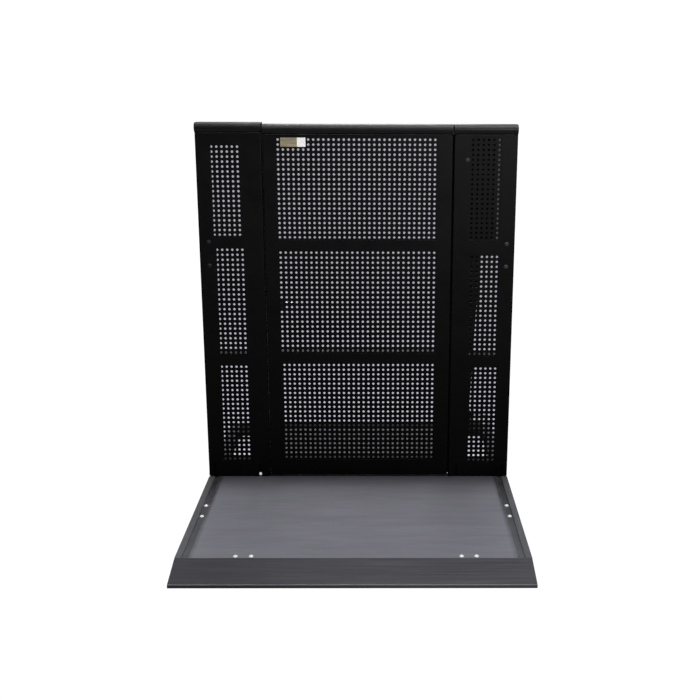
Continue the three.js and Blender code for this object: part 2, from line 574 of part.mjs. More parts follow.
const handleSection = new THREE.Shape();
handleSection.absarc(0, 0, HANDLE.radius, 0, Math.PI * 2, false);
add('door', 'door_handle', new THREE.ExtrudeGeometry(handleSection, {
  steps: 24, curveSegments: 4, bevelEnabled: false, extrudePath: handlePath,
}), blackPaint);

export default barrier;
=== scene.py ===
"""Looks of a stage crowd-barrier door section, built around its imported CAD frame.

Every visible surface is a mesh made here from the CAD nodes' own boxes, or a refined copy of a CAD
node. Lengths are in metres, in the CAD frame: +X right, +Y towards the stage, +Z up.
"""
import json
import math

import bmesh
import bpy
from mathutils import Matrix, Vector


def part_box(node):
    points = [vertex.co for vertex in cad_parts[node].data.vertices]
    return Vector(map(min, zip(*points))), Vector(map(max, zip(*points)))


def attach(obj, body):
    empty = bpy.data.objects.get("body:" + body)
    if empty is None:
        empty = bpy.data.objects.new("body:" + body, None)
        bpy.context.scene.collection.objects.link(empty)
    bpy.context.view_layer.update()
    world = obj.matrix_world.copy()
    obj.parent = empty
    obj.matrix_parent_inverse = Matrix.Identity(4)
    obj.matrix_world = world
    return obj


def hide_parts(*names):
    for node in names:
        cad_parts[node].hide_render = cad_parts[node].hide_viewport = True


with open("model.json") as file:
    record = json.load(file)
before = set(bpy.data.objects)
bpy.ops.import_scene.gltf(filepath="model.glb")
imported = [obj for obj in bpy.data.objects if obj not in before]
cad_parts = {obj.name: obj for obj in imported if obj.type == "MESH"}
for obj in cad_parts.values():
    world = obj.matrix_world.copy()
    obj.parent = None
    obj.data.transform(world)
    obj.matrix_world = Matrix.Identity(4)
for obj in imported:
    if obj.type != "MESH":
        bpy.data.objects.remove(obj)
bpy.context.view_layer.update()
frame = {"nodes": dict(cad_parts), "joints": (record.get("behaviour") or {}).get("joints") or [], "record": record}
MM = 0.001
BODY_OF = {
    node: body
    for body, nodes in frame["record"]["behaviour"]["bodies"].items()
    for node in nodes
}
JOINTS = {joint["name"]: joint for joint in frame["joints"]}
SIDES = (("left", -1), ("right", 1))
LEVELS = ("top", "middle", "bottom")

# ---------------------------------------------------------------- shader helpers


class Nodes:
    """A node tree, with short calls to add and link nodes."""

    def __init__(self, owner):
        owner.use_nodes = True
        self.tree = owner.node_tree
        self.tree.nodes.clear()

    def add(self, kind, inputs=None, **settings):
        node = self.tree.nodes.new(kind)
        for key, value in settings.items():
            setattr(node, key, value)
        for key, value in (inputs or {}).items():
            if isinstance(value, bpy.types.NodeSocket):
                self.tree.links.new(value, node.inputs[key])
            else:
                node.inputs[key].default_value = value
        return node

    def out(self, kind, inputs=None, **settings):
        """The first output of a new node."""
        return self.add(kind, inputs, **settings).outputs[0]

    def ramp(self, value, low, high, out_low=0.0, out_high=1.0):
        inputs = {"Value": value, "From Min": low, "From Max": high, "To Min": out_low,
                  "To Max": out_high}
        return self.out("ShaderNodeMapRange", inputs, clamp=True)

    def math(self, operation, first, second=0.0, third=0.0):
        return self.out("ShaderNodeMath", {0: first, 1: second, 2: third}, operation=operation)

    def times(self, first, second):
        return self.math("MULTIPLY", first, second)

    def mix(self, factor, first, second):
        inputs = {0: factor, 6: first, 7: second}
        return self.add("ShaderNodeMix", inputs, data_type="RGBA").outputs[2]

    def axes(self, vector):
        return self.add("ShaderNodeSeparateXYZ", {0: vector}).outputs

    def blend(self, factor, first, second):
        return self.out("ShaderNodeMixShader", {0: factor, 1: first, 2: second})

    def camera_ray(self):
        """1 for a ray that comes from the camera itself, and 0 for any other."""
        return self.add("ShaderNodeLightPath").outputs["Is Camera Ray"]


class Shader(Nodes):
    """One material's node tree."""

    def __init__(self, name, record_slot):
        self.material = bpy.data.materials.new(name)
        super().__init__(self.material)
        self.material["record_slot"] = record_slot
        self.coords = self.add("ShaderNodeTexCoord").outputs["Object"]

    def stretched(self, scale):
        """The object's coordinates multiplied by one factor for each axis."""
        return self.out("ShaderNodeMapping", {"Vector": self.coords, "Scale": scale})

    def noise(self, scale, detail=4.0, roughness=0.55, vector=None):
        inputs = {"Vector": vector or self.coords, "Scale": scale, "Detail": detail,
                  "Roughness": roughness}
        return self.add("ShaderNodeTexNoise", inputs).outputs["Fac"]

    def edges(self, radius):
        """1 on convex or concave edges and 0 on flats, from the rounded-corner normal."""
        bevel = self.add("ShaderNodeBevel", {"Radius": radius}, samples=4)
        geometry = self.add("ShaderNodeNewGeometry")
        dot = self.add("ShaderNodeVectorMath", {0: bevel.outputs[0], 1: geometry.outputs["Normal"]},
                       operation="DOT_PRODUCT")
        return self.ramp(self.math("SUBTRACT", 1.0, dot.outputs["Value"]), 0.02, 0.3)

    def bump(self, height, strength, distance):
        inputs = {"Height": height, "Strength": strength, "Distance": distance}
        return self.out("ShaderNodeBump", inputs)

    def end(self, surface):
        """Ends the tree with a surface, and gives its material."""
        self.add("ShaderNodeOutputMaterial", {0: surface})
        return self.material

    def finish(self, **inputs):
        named = {key.replace("_", " "): value for key, value in inputs.items()}
        return self.end(self.out("ShaderNodeBsdfPrincipled", named))


def grey(value, blue=1.0):
    return (value, value, value * blue, 1.0)


# ---------------------------------------------------------------- materials


def powder_coat(name, slot, dark, light, rough, specular=0.3, peel_strength=0.16):
    """Black powder coat: fine orange peel, a little dust, paint worn thin on the edges, and less
    sheen near the floor, where boots scuff it."""
    s = Shader(name, slot)
    dust = s.ramp(s.noise(5.0, 5.0), 0.45, 0.75)
    speckle = s.ramp(s.noise(420.0, 2.0), 0.58, 0.8)
    cover = s.mix(dust, grey(dark), grey(light, 1.05))
    cover = s.mix(s.times(speckle, 0.3), cover, grey(light * 2.5))
    patch = s.ramp(s.noise(38.0, 6.0, 0.7), 0.52, 0.66)
    worn = s.times(s.edges(1.6 * MM), patch)
    color = s.mix(s.times(worn, 0.5), cover, grey(0.13, 1.02))
    roughness = s.ramp(s.noise(16.0, 4.0), 0.3, 0.7, rough - 0.06, rough + 0.1)
    peel = s.bump(s.noise(900.0, 2.0), peel_strength, 0.25 * MM)
    sheen = s.ramp(s.axes(s.coords)["Z"], 0.04, 0.9, specular * 0.3, specular * 1.1)
    return s.finish(Base_Color=color, Roughness=roughness, Normal=peel,
                    Specular_IOR_Level=sheen)


def deck_metal(name, slot, base, rough, streak_scale, tone, extra=None, edge_wear=0.4):
    """Worn mill-finish aluminium: streaks along the plate, smudges, scuffs and bright edges.
    extra(shader, color, place) adds what one plate has and the others have not."""
    s = Shader(name, slot)
    streaks = s.noise(1.0, 5.0, 0.65, s.stretched(streak_scale))
    broad_field = s.noise(1.0, 3.0, 0.5, s.stretched(tuple(v * 0.16 for v in streak_scale)))
    broad = s.ramp(broad_field, 0.35, 0.7)
    patches = s.ramp(s.noise(4.5, 6.0, 0.6), 0.35, 0.7)
    scuff_field = s.noise(1.0, 8.0, 0.72, s.stretched(tuple(v * 0.35 for v in streak_scale)))
    scuffs = s.ramp(scuff_field, 0.62, 0.72)
    tint = [tuple(min(1.0, v * f) for v in base) + (1.0,) for f in (1 - tone, 1 + tone, 0.8, 0.5)]
    smudges = s.ramp(s.noise(1.0, 6.0, 0.62, s.stretched((3.4, 22.0, 12.0))), 0.42, 0.68)
    rubs = s.ramp(s.noise(1.0, 7.0, 0.7, s.stretched((5.0, 70.0, 40.0))), 0.56, 0.7)
    color = s.mix(s.ramp(streaks, 0.3, 0.7), tint[0], tint[1])
    for mask, share, shade in ((broad, 0.4, 1), (patches, 0.25, 2), (scuffs, 0.35, 3),
                               (smudges, 0.6, 2), (rubs, 0.5, 1)):
        color = s.mix(s.times(mask, share), color, tint[shade])
    if extra:
        color = extra(s, color, s.axes(s.coords))
    edge = s.times(s.edges(1.2 * MM), edge_wear)
    color = s.mix(edge, color, (0.6, 0.6, 0.64, 1.0))
    roughness = s.ramp(streaks, 0.3, 0.7, rough - 0.05, rough + 0.09)
    roughness = s.math("ADD", roughness, s.times(scuffs, 0.1))
    surface = s.bump(streaks, 0.10, 0.3 * MM)
    return s.finish(Base_Color=color, Metallic=0.3, Roughness=roughness, Normal=surface)


# Colour for marks that are part dirt and part painted shade.
SHADE_AND_GRIME = (0.05, 0.051, 0.056, 1.0)
DECK_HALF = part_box("front_deck")[1].x
DECK_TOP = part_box("front_deck")[1].z
RAIL_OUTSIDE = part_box("side_rail_right")[1].x
LIP_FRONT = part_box("toe_ramp")[0].y


def deck_margin(s, color, place):
    """Dirt trodden into the deck along its side rails, with painted shade over it, thicker near the
    upright, and a band of painted shadow along the foot of the upright."""
    # Dirt along the side rails with painted shade over it, thicker near the upright.
    side = s.ramp(s.math("ABSOLUTE", place["X"]), DECK_HALF - 14 * MM, DECK_HALF - 3 * MM)
    near = s.ramp(place["Y"], -0.5, -0.1, 0.35, 1.0)
    patchy = s.ramp(s.noise(24.0, 5.0), 0.25, 0.6, 0.6, 1.0)
    # Painted shadow of the upright along its foot, darkest right at the foot.
    foot = s.math("POWER", s.ramp(place["Y"], -0.15, -0.01), 1.4)
    color = s.mix(s.times(foot, 0.68), color, SHADE_AND_GRIME)
    return s.mix(s.times(s.times(side, near), patchy), color, SHADE_AND_GRIME)


def rail_groove(s, color, place):
    """Dirt and painted shade in the rail's sunk strip, thicker near the upright, and a dark outer corner."""
    # Painted shade and dirt in the sunk strip, as shade falls in a recess.
    sunk = s.ramp(place["Z"], DECK_TOP - 1 * MM, DECK_TOP - 3 * MM)
    near = s.ramp(place["Y"], -0.5, -0.05, 0.1, 1.0)
    patchy = s.ramp(s.noise(14.0, 5.0), 0.3, 0.65, 0.45, 1.0)
    shaded_and_dirty = s.times(s.times(sunk, near), patchy)
    rim = s.ramp(s.math("ABSOLUTE", place["X"]), RAIL_OUTSIDE - 2.2 * MM, RAIL_OUTSIDE - 1.0 * MM)
    color = s.mix(s.times(rim, patchy), color, SHADE_AND_GRIME)
    return s.mix(shaded_and_dirty, color, SHADE_AND_GRIME)


def ramp_lip(s, color, place):
    """Painted highlight on the lip's top, painted shade on its front face, and painted shade towards the left."""
    # Painted shade: the ramp darker towards the left.
    shade_to_left = s.ramp(place["X"], -0.42, 0.15, 0.48, 0.0)
    color = s.mix(shade_to_left, color, (0.04, 0.04, 0.048, 1.0))
    # Painted highlight along the lip's rounded top edge.
    lip_highlight = s.ramp(place["Y"], LIP_FRONT + 3.8 * MM, LIP_FRONT + 2.2 * MM, 0.0, 0.85)
    color = s.mix(lip_highlight, color, (0.24, 0.236, 0.258, 1.0))
    # Painted shade on the lip's front face, lighter towards the right.
    front = s.ramp(place["Y"], LIP_FRONT + 0.6 * MM, LIP_FRONT + 0.2 * MM)
    shaded_front_face = s.mix(s.ramp(place["X"], -0.3, 0.2), (0.07, 0.07, 0.073, 1.0), (0.14, 0.138, 0.146, 1.0))
    return s.mix(front, color, shaded_front_face)


def bright_metal(name, slot, base, rough, metallic, glint=0.0):
    """Zinc-plated steel with a fine grain. glint is a little emission, a painted glint that makes
    polished heads look bright in any light."""
    s = Shader(name, slot)
    grain = s.noise(260.0, 3.0)
    color = s.mix(s.ramp(grain, 0.3, 0.7), grey(base * 0.86, 1.02), grey(base, 1.0))
    roughness = s.ramp(s.noise(90.0, 4.0), 0.3, 0.7, rough, rough + 0.16)
    surface = s.bump(grain, 0.08, 0.1 * MM)
    return s.finish(Base_Color=color, Metallic=metallic, Roughness=roughness, Normal=surface,
                    Emission_Color=color, Emission_Strength=glint)


def rubber_mat(name, slot):
    s = Shader(name, slot)
    dust = s.ramp(s.noise(30.0, 5.0), 0.4, 0.8)
    color = s.mix(dust, grey(0.018), grey(0.045))
    surface = s.bump(s.noise(300.0, 3.0), 0.3, 0.3 * MM)
    return s.finish(Base_Color=color, Roughness=0.85, Normal=surface)


def printed_film(name, slot, low, high, bands):
    """Faded reflective film: soft mottling and a few broad plain bands across its height. A little
    emission stands for the light that such film sends back to the viewer."""
    s = Shader(name, slot)
    mottle = s.ramp(s.noise(60.0, 4.0), 0.3, 0.7)
    stripe = s.ramp(s.noise(1.0, 2.0, 0.5, s.stretched((12.0, 1.0, bands))), 0.4, 0.6)
    color = s.mix(s.times(s.math("ADD", mottle, stripe), 0.5), low, high)
    return s.finish(Base_Color=color, Roughness=0.45, Specular_IOR_Level=0.3,
                    Emission_Color=color, Emission_Strength=0.6)


BLACK = powder_coat("black_powder_coat", "black_paint", 0.0012, 0.003, 0.42)
RAIL_BLACK = powder_coat("hand_rail_coat", "black_paint", 0.003, 0.008, 0.36, 0.5, 0.05)
SHEET_BLACK = powder_coat("black_sheet_coat", "sheet_paint", 0.0012, 0.0028, 0.46)
DECK = deck_metal("deck_aluminium", "deck_aluminium", (0.36, 0.355, 0.41), 0.55,
                  (7.0, 260.0, 60.0), 0.12, deck_margin)
# The rear deck is a darker copy of the deck's aluminium: painted shade behind the upright.
SHADED_REAR_DECK = deck_metal("shaded_rear_deck_aluminium", "deck_aluminium", (0.11, 0.11, 0.124), 0.55,
                       (7.0, 260.0, 60.0), 0.18)
RAMP = deck_metal("ramp_aluminium", "deck_aluminium", (0.098, 0.095, 0.11), 0.5,
                  (4.0, 150.0, 150.0), 0.5, ramp_lip, 0.1)
RAIL_METAL = deck_metal("side_rail_aluminium", "deck_aluminium", (0.18, 0.182, 0.2), 0.5,
                        (60.0, 9.0, 60.0), 0.26, rail_groove, 0.12)
ZINC = bright_metal("zinc_plate", "zinc_steel", 0.8, 0.3, 0.6)
# Screw heads with a painted glint: they glow a little in any light.
GLINT_ZINC = bright_metal("glinting_zinc", "zinc_steel", 0.95, 0.3, 0.3, 0.35)
OLD_ZINC = bright_metal("old_zinc_plate", "zinc_steel", 0.13, 0.5, 0.4)
DARK_ZINC = bright_metal("dark_zinc_plate", "zinc_steel", 0.06, 0.5, 0.4)
RUBBER = rubber_mat("floor_rubber", "rubber")
DULL_ZINC = bright_metal("dull_zinc_plate", "zinc_steel", 0.4, 0.34, 0.85)
LABEL_GOLD = printed_film("label_gold", "label", (0.15, 0.16, 0.09, 1), (0.36, 0.28, 0.2, 1), 90.0)
LABEL_WHITE = printed_film("label_white", "label", (0.72, 0.7, 0.7, 1), (0.95, 0.93, 0.92, 1), 40.0)

# ---------------------------------------------------------------- mesh helpers


def new_object(name, data):
    made = bpy.data.objects.new(name, data)
    bpy.context.scene.collection.objects.link(made)
    return made


def make_piece(name, bm, body, material, replaces=(), sharp=35.0, weighted=True):
    """Turns a bmesh into a piece that rides on a body and takes its finish from a record slot."""
    bmesh.ops.recalc_face_normals(bm, faces=bm.faces)
    mesh = bpy.data.meshes.new(name)
    bm.to_mesh(mesh)
    bm.free()
    mesh.polygons.foreach_set("use_smooth", [True] * len(mesh.polygons))
    mesh.set_sharp_from_angle(angle=math.radians(sharp))
    mesh.materials.append(material)
    piece = new_object(name, mesh)
    if weighted:
        normals = piece.modifiers.new("flat_faces_stay_flat", "WEIGHTED_NORMAL")
        normals.keep_sharp = True
    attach(piece, body)
    if replaces:
        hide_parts(*replaces)


def finish_node(node, bm, material):
    """Turns a bmesh into the piece that stands for one CAD node."""
    make_piece(f"{node}_finished", bm, BODY_OF[node], material, (node,))


def make_welds(name, bm, body, material):
    make_piece(name, bm, body, material, sharp=60.0, weighted=False)


def soften(bm, edges, ease, segments=2):
    """Rounds edges; the faces' normals have to be right first, or concave outlines round inwards."""
    bmesh.ops.recalc_face_normals(bm, faces=bm.faces)
    bmesh.ops.bevel(bm, geom=list(edges), offset=ease, segments=segments, profile=0.5,
                    affect="EDGES", clamp_overlap=True)


def add_box(bm, low, high, ease):
    """A box between two corners, with its edges rounded by ease."""
    low, high = Vector(low), Vector(high)
    place = Matrix.Translation((low + high) / 2) @ Matrix.Diagonal((*(high - low), 1.0))
    made = bmesh.ops.create_cube(bm, size=1.0, matrix=place)
    soften(bm, {edge for vert in made["verts"] for edge in vert.link_edges}, ease)


def axis_frame(direction):
    """Two unit vectors square to a direction, and the direction itself, right-handed."""
    along = Vector(direction).normalized()
    helper = Vector((0, 0, 1)) if abs(along.z) < 0.9 else Vector((1, 0, 0))
    side = helper.cross(along).normalized()
    return side, along.cross(side), along


def add_loop(bm, centre, side, up, steps, reach):
    """A ring of corners about a centre; reach(angle) is its radius there."""
    angles = [2 * math.pi * step / steps for step in range(steps)]
    return [bm.verts.new(centre + (side * math.cos(angle) + up * math.sin(angle)) * reach(angle))
            for angle in angles]


def bridge(bm, pairs):
    """Faces between each pair of rings; a ring of one corner is a point."""
    for first, second in pairs:
        steps = max(len(first), len(second))
        for step in range(steps):
            after = (step + 1) % steps
            if len(first) == 1:
                bm.faces.new((first[0], second[after], second[step]))
            elif len(second) == 1:
                bm.faces.new((first[step], first[after], second[0]))
            else:
                bm.faces.new((first[step], first[after], second[after], second[step]))


def add_turned(bm, profile, origin, direction, steps, hollow=False, shape=None):
    """Turns (radius, distance) pairs about an axis. Radius 0 makes a point; hollow joins the last
    ring to the first. shape(angle, ring) scales a ring's radius, for flats and knurls."""
    side, up, along = axis_frame(direction)
    origin = Vector(origin)
    rings = []
    for index, (radius, distance) in enumerate(profile):
        centre = origin + along * distance
        if radius == 0:
            rings.append([bm.verts.new(centre)])
        else:
            rings.append(add_loop(bm, centre, side, up, steps, lambda angle: (
                radius * (shape(angle, index) if shape else 1.0))))
    pairs = list(zip(rings, rings[1:]))
    if hollow:
        pairs.append((rings[-1], rings[0]))
    bridge(bm, pairs)


def add_rod(bm, start, end, radius, ease=0.5 * MM):
    """A round bar with eased ends."""
    start, end = Vector(start), Vector(end)
    length = (end - start).length
    profile = [(0, 0), (radius - ease, 0), (radius - ease * 0.3, ease * 0.3), (radius, ease),
               (radius, length - ease), (radius - ease * 0.3, length - ease * 0.3),
               (radius - ease, length), (0, length)]
    add_turned(bm, profile, start, end - start, 28)


def add_ring(bm, origin, direction, bore, radius, length, ease=0.4 * MM):
    """A ring or knuckle: a tube with its outer edges eased."""
    profile = [(bore, 0), (radius - ease, 0), (radius, ease), (radius, length - ease),
               (radius - ease, length), (bore, length)]
    add_turned(bm, profile, origin, direction, 36, hollow=True)


def add_sweep(bm, points, radius_at, sides, closed=False):
    """A round section swept along points; radius_at(index) is its radius at each point."""
    count = len(points)
    rings = []
    side = None
    for index, point in enumerate(points):
        before = points[(index - 1) % count] if closed or index > 0 else point
        after = points[(index + 1) % count] if closed or index < count - 1 else point
        along = (after - before).normalized()
        if side is None:
            side = axis_frame(along)[0]
        side = (side - along * side.dot(along)).normalized()
        up = along.cross(side)
        rings.append(add_loop(bm, point, side, up, sides, lambda angle: radius_at(index)))
    pairs = list(zip(rings, rings[1:]))
    if closed:
        pairs.append((rings[-1], rings[0]))
    else:
        bm.faces.new(rings[0][::-1])
        bm.faces.new(rings[-1])
    bridge(bm, pairs)


def add_prism(bm, outline, to_point, start, end, ease=0.0, segments=2):
    """Extrudes an outline; to_point(corner, distance) places each corner. ease rounds both ends."""
    first = [bm.verts.new(to_point(corner, start)) for corner in outline]
    second = [bm.verts.new(to_point(corner, end)) for corner in outline]
    caps = [bm.faces.new(first[::-1]), bm.faces.new(second)]
    bridge(bm, [(first, second)])
    if ease > 0:
        soften(bm, {edge for cap in caps for edge in cap.edges}, ease, segments)


def arc(centre, radius, start, end, steps):
    """Points on an arc; angles in degrees."""
    points = []
    for step in range(steps + 1):
        angle = math.radians(start + (end - start) * step / steps)
        points.append((centre[0] + radius * math.cos(angle), centre[1] + radius * math.sin(angle)))
    return points


def along_x(corner, distance):
    return Vector((distance, corner[0], corner[1]))


def along_y(corner, distance):
    return Vector((corner[0], distance, corner[1]))


def along_z(corner, distance):
    return Vector((corner[0], corner[1], distance))


TALL_EDGE = 300 * MM
SHARP_ANGLE = math.radians(30.0)


def refined(node, material, ease=1.2 * MM, segments=2, tube_corner=0.0):
    """A copy of a CAD node with shared corners, whole flat faces and rounded edges. tube_corner is
    the larger radius of a square tube, given to the long upright edges on the node's two sides."""
    bm = bmesh.new()
    bm.from_mesh(frame["nodes"][node].data)
    bmesh.ops.remove_doubles(bm, verts=bm.verts, dist=0.005 * MM)
    bmesh.ops.dissolve_limit(bm, angle_limit=math.radians(1.0), verts=bm.verts, edges=bm.edges,
                             use_dissolve_boundaries=False)
    if tube_corner:
        sides = [corner.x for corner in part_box(node)]
        tall = [edge for edge in bm.edges if edge.calc_length() > TALL_EDGE
                and all(min(abs(vert.co.x - x) for x in sides) < 0.1 * MM for vert in edge.verts)]
        soften(bm, tall, tube_corner, 4)
    sharp = [edge for edge in bm.edges
             if len(edge.link_faces) == 2 and edge.calc_face_angle(0.0) > SHARP_ANGLE]
    soften(bm, sharp, ease, segments)
    finish_node(node, bm, material)


def centre_of(node):
    low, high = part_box(node)
    return (low + high) / 2


def hexagon(angle):
    """Scale that turns a circle into a hexagon across its corners."""
    sixth = math.pi / 3
    return math.cos(sixth / 2) / math.cos(angle % sixth - sixth / 2)


def add_socket_screw(bm, seat, direction, radius, height):
    """Button head with a hexagon socket, standing on its washer."""
    washer = 0.8 * MM
    dome = [(radius * math.cos(math.radians(a)), washer + height * math.sin(math.radians(a)))
            for a in (0, 18, 36, 54, 66)]
    socket = radius * 0.42
    floor = washer + height * 0.4
    profile = [(0, 0), (radius * 1.22, 0), (radius * 1.25, washer * 0.5), (radius * 1.22, washer),
               (radius, washer)] + dome + [(socket, washer + height * 0.97), (socket, floor),
                                           (0, floor)]
    inside = (len(profile) - 3, len(profile) - 2)
    add_turned(bm, profile, seat, direction, 36,
               shape=lambda angle, ring: hexagon(angle) if ring in inside else 1.0)


def add_hex_nut(bm, seat, direction, radius, height):
    """Hexagon head with a chamfered top, on a washer."""
    washer = 0.8 * MM
    profile = [(0, 0), (radius * 1.25, 0), (radius * 1.25, washer), (radius, washer),
               (radius, height * 0.85), (radius * 0.9, height), (0, height)]
    add_turned(bm, profile, seat, direction, 36,
               shape=lambda angle, ring: hexagon(angle) if ring in (3, 4) else 1.0)


def add_weld(bm, start, end, radius):
    """A fillet weld: a round bead whose ripples follow the torch, tapered at both ends."""
    start, end = Vector(start), Vector(end)
    count = max(6, int((end - start).length / (2.6 * MM)))
    points = [start.lerp(end, index / count) for index in range(count + 1)]

    def bead(index):
        taper = min(1.0, 0.35 + 0.65 * min(index, count - index) / 2)
        return radius * taper * (1.0 if index % 2 else 0.84)

    add_sweep(bm, points, bead, 8)


# ---------------------------------------------------------------- perforated sheets
# Columns and rows of holes in each sheet, spread evenly inside its margin.
HOLE_GRID = {
    "left_jamb": {"top": (6, 19), "middle": (6, 22), "bottom": (6, 21)},
    "door": {"top": (32, 21), "middle": (31, 21), "bottom": (31, 21)},
    "right_jamb": {"top": (6, 21), "middle": (6, 21), "bottom": (6, 21)},
}
HOLE_MARGIN = 8.0 * MM
HOLE_RADIUS = 3.75 * MM
HOLE_EASE = 0.35 * MM
HOLE_CORNERS = 16
CORNERS_PER_SIDE = HOLE_CORNERS // 4


def cell_lines(low, high, count):
    """Hole centres along one direction, and the lines between their cells."""
    pitch = (high - low - 2 * HOLE_MARGIN) / (count - 1)
    centres = [low + HOLE_MARGIN + index * pitch for index in range(count)]
    lines = [low] + [centre + pitch / 2 for centre in centres[:-1]] + [high]
    return centres, lines


def rim_point(step, left, right, bottom, top):
    """Point number step of HOLE_CORNERS, walking round a cell's rim from its right bottom corner."""
    side, along = divmod(step, CORNERS_PER_SIDE)
    share = along / CORNERS_PER_SIDE
    corners = ((right, bottom), (right, top), (left, top), (left, bottom))
    (u0, v0), (u1, v1) = corners[side], corners[(side + 1) % 4]
    return u0 + (u1 - u0) * share, v0 + (v1 - v0) * share


def perforated_sheet(leaf, level):
    node = f"{leaf}_sheet_{level}"
    low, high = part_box(node)
    columns, rows = HOLE_GRID[leaf][level]
    xs, x_lines = cell_lines(low.x, high.x, columns)
    zs, z_lines = cell_lines(low.z, high.z, rows)
    front, back = low.y, high.y
    verts, faces = [], []
    for column, x in enumerate(xs):
        for row, z in enumerate(zs):
            rim = (x_lines[column], x_lines[column + 1], z_lines[row], z_lines[row + 1])
            base = len(verts)
            for step in range(HOLE_CORNERS):
                u, v = rim_point(step, *rim)
                angle = 2 * math.pi * step / HOLE_CORNERS - math.pi / 4
                c, s = math.cos(angle), math.sin(angle)
                wide = HOLE_RADIUS + HOLE_EASE
                verts += [(u, front, v), (x + wide * c, front, z + wide * s),
                          (x + HOLE_RADIUS * c, front + HOLE_EASE, z + HOLE_RADIUS * s),
                          (x + HOLE_RADIUS * c, back, z + HOLE_RADIUS * s), (u, back, v)]
            for step in range(HOLE_CORNERS):
                here = base + 5 * step
                there = base + 5 * ((step + 1) % HOLE_CORNERS)
                for ring in range(4):
                    faces.append((here + ring, there + ring, there + ring + 1, here + ring + 1))
                outer = (column == columns - 1, row == rows - 1, column == 0, row == 0)
                if outer[step // CORNERS_PER_SIDE]:
                    faces.append((here + 4, there + 4, there, here))
    bm = bmesh.new()
    corners = [bm.verts.new(vert) for vert in verts]
    for face in faces:
        bm.faces.new([corners[index] for index in face])
    bmesh.ops.remove_doubles(bm, verts=bm.verts, dist=0.01 * MM)
    make_piece(f"{node}_perforated", bm, BODY_OF[node], SHEET_BLACK, (node,), sharp=25.0,
               weighted=False)


for leaf_name, levels in HOLE_GRID.items():
    for level_name in levels:
        perforated_sheet(leaf_name, level_name)

# ---------------------------------------------------------------- upright: frames and hand rail
FRAME_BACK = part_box("door_frame")[1].y
SHEET_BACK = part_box("door_sheet_top")[1].y
TACK_PITCH = 78 * MM
TACK_HALF = 7 * MM
TACK_RADIUS = 1.7 * MM
TACK_INSET = 0.6 * MM
TUBE_CORNER = 4 * MM

for frame_node in ("left_jamb_frame", "door_frame", "right_jamb_frame"):
    refined(frame_node, BLACK, 1.6 * MM, segments=3, tube_corner=TUBE_CORNER)
refined("right_jamb_stiffener", BLACK, 0.8 * MM)
refined("door_edge_seal", RUBBER, 0.4 * MM)


def tack_row(bm, start, end):
    """Tack welds spread evenly along one side of a sheet."""
    length = (end - start).length
    half = (end - start) / length * TACK_HALF
    count = max(2, round(length / TACK_PITCH))
    for index in range(count):
        middle = start.lerp(end, (index + 0.5) / count)
        add_weld(bm, middle - half, middle + half, TACK_RADIUS)


def sheet_tacks(leaf):
    """Short tack welds that hold the back of each sheet inside its window."""
    bm = bmesh.new()
    for level in LEVELS:
        low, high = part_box(f"{leaf}_sheet_{level}")
        for x in (low.x + TACK_INSET, high.x - TACK_INSET):
            tack_row(bm, Vector((x, SHEET_BACK, low.z)), Vector((x, SHEET_BACK, high.z)))
        for z in (low.z + TACK_INSET, high.z - TACK_INSET):
            tack_row(bm, Vector((low.x, SHEET_BACK, z)), Vector((high.x, SHEET_BACK, z)))
    make_welds(f"{leaf}_sheet_tack_welds", bm, leaf, SHEET_BLACK)


for leaf_name in HOLE_GRID:
    sheet_tacks(leaf_name)

RAIL_BACK_EASE = 6 * MM
RAIL_WELD = {"radius": 2.6 * MM, "inset": 0.6 * MM, "end": 3 * MM}


def hand_rail(node):
    """Rail with a full round in front, two small rounds at the back and eased ends."""
    low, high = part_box(node)
    radius = (high.z - low.z) / 2
    small = RAIL_BACK_EASE
    middle = (low.z + high.z) / 2
    outline = arc((low.y + radius, middle), radius, 90, 270, 28)
    outline += arc((high.y - small, low.z + small), small, -90, 0, 6)
    outline += arc((high.y - small, high.z - small), small, 0, 90, 6)
    bm = bmesh.new()
    add_prism(bm, outline, along_x, low.x, high.x, 1.2 * MM, 3)
    make_piece(f"{node}_round", bm, BODY_OF[node], RAIL_BLACK, (node,), sharp=40.0)


def rail_welds(leaf):
    """One bead along each side of the frame's top, where the hand rail stands on it."""
    low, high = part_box(f"{leaf}_rail")
    bm = bmesh.new()
    x0, x1 = low.x + RAIL_WELD["end"], high.x - RAIL_WELD["end"]
    for y in (RAIL_WELD["inset"], FRAME_BACK - RAIL_WELD["inset"]):
        add_weld(bm, (x0, y, low.z), (x1, y, low.z), RAIL_WELD["radius"])
    make_welds(f"{leaf}_rail_welds", bm, leaf, RAIL_BLACK)


for leaf_name in HOLE_GRID:
    hand_rail(f"{leaf_name}_rail")
    rail_welds(leaf_name)


def label(gold_share=0.66):
    """Blank two-part label: an olive-gold field and a white field on one thin plate."""
    low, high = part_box("label_plate")
    split = low.x + (high.x - low.x) * gold_share
    for name, x0, x1, material, replaced in (
            ("label_gold_field", low.x, split, LABEL_GOLD, ("label_plate",)),
            ("label_white_field", split, high.x, LABEL_WHITE, ())):
        bm = bmesh.new()
        add_box(bm, (x0, low.y, low.z), (x1, high.y, high.z), 0.3 * MM)
        make_piece(name, bm, BODY_OF["label_plate"], material, replaced)


label()

WASHER_END = 14 * MM  # from a coupling screw to the end of its washer plate
COUPLING_HEAD = (5.2 * MM, 2.6 * MM)
COUPLING_NUT = (7 * MM, 4.5 * MM)
COUPLING_SHANK = 5 * MM


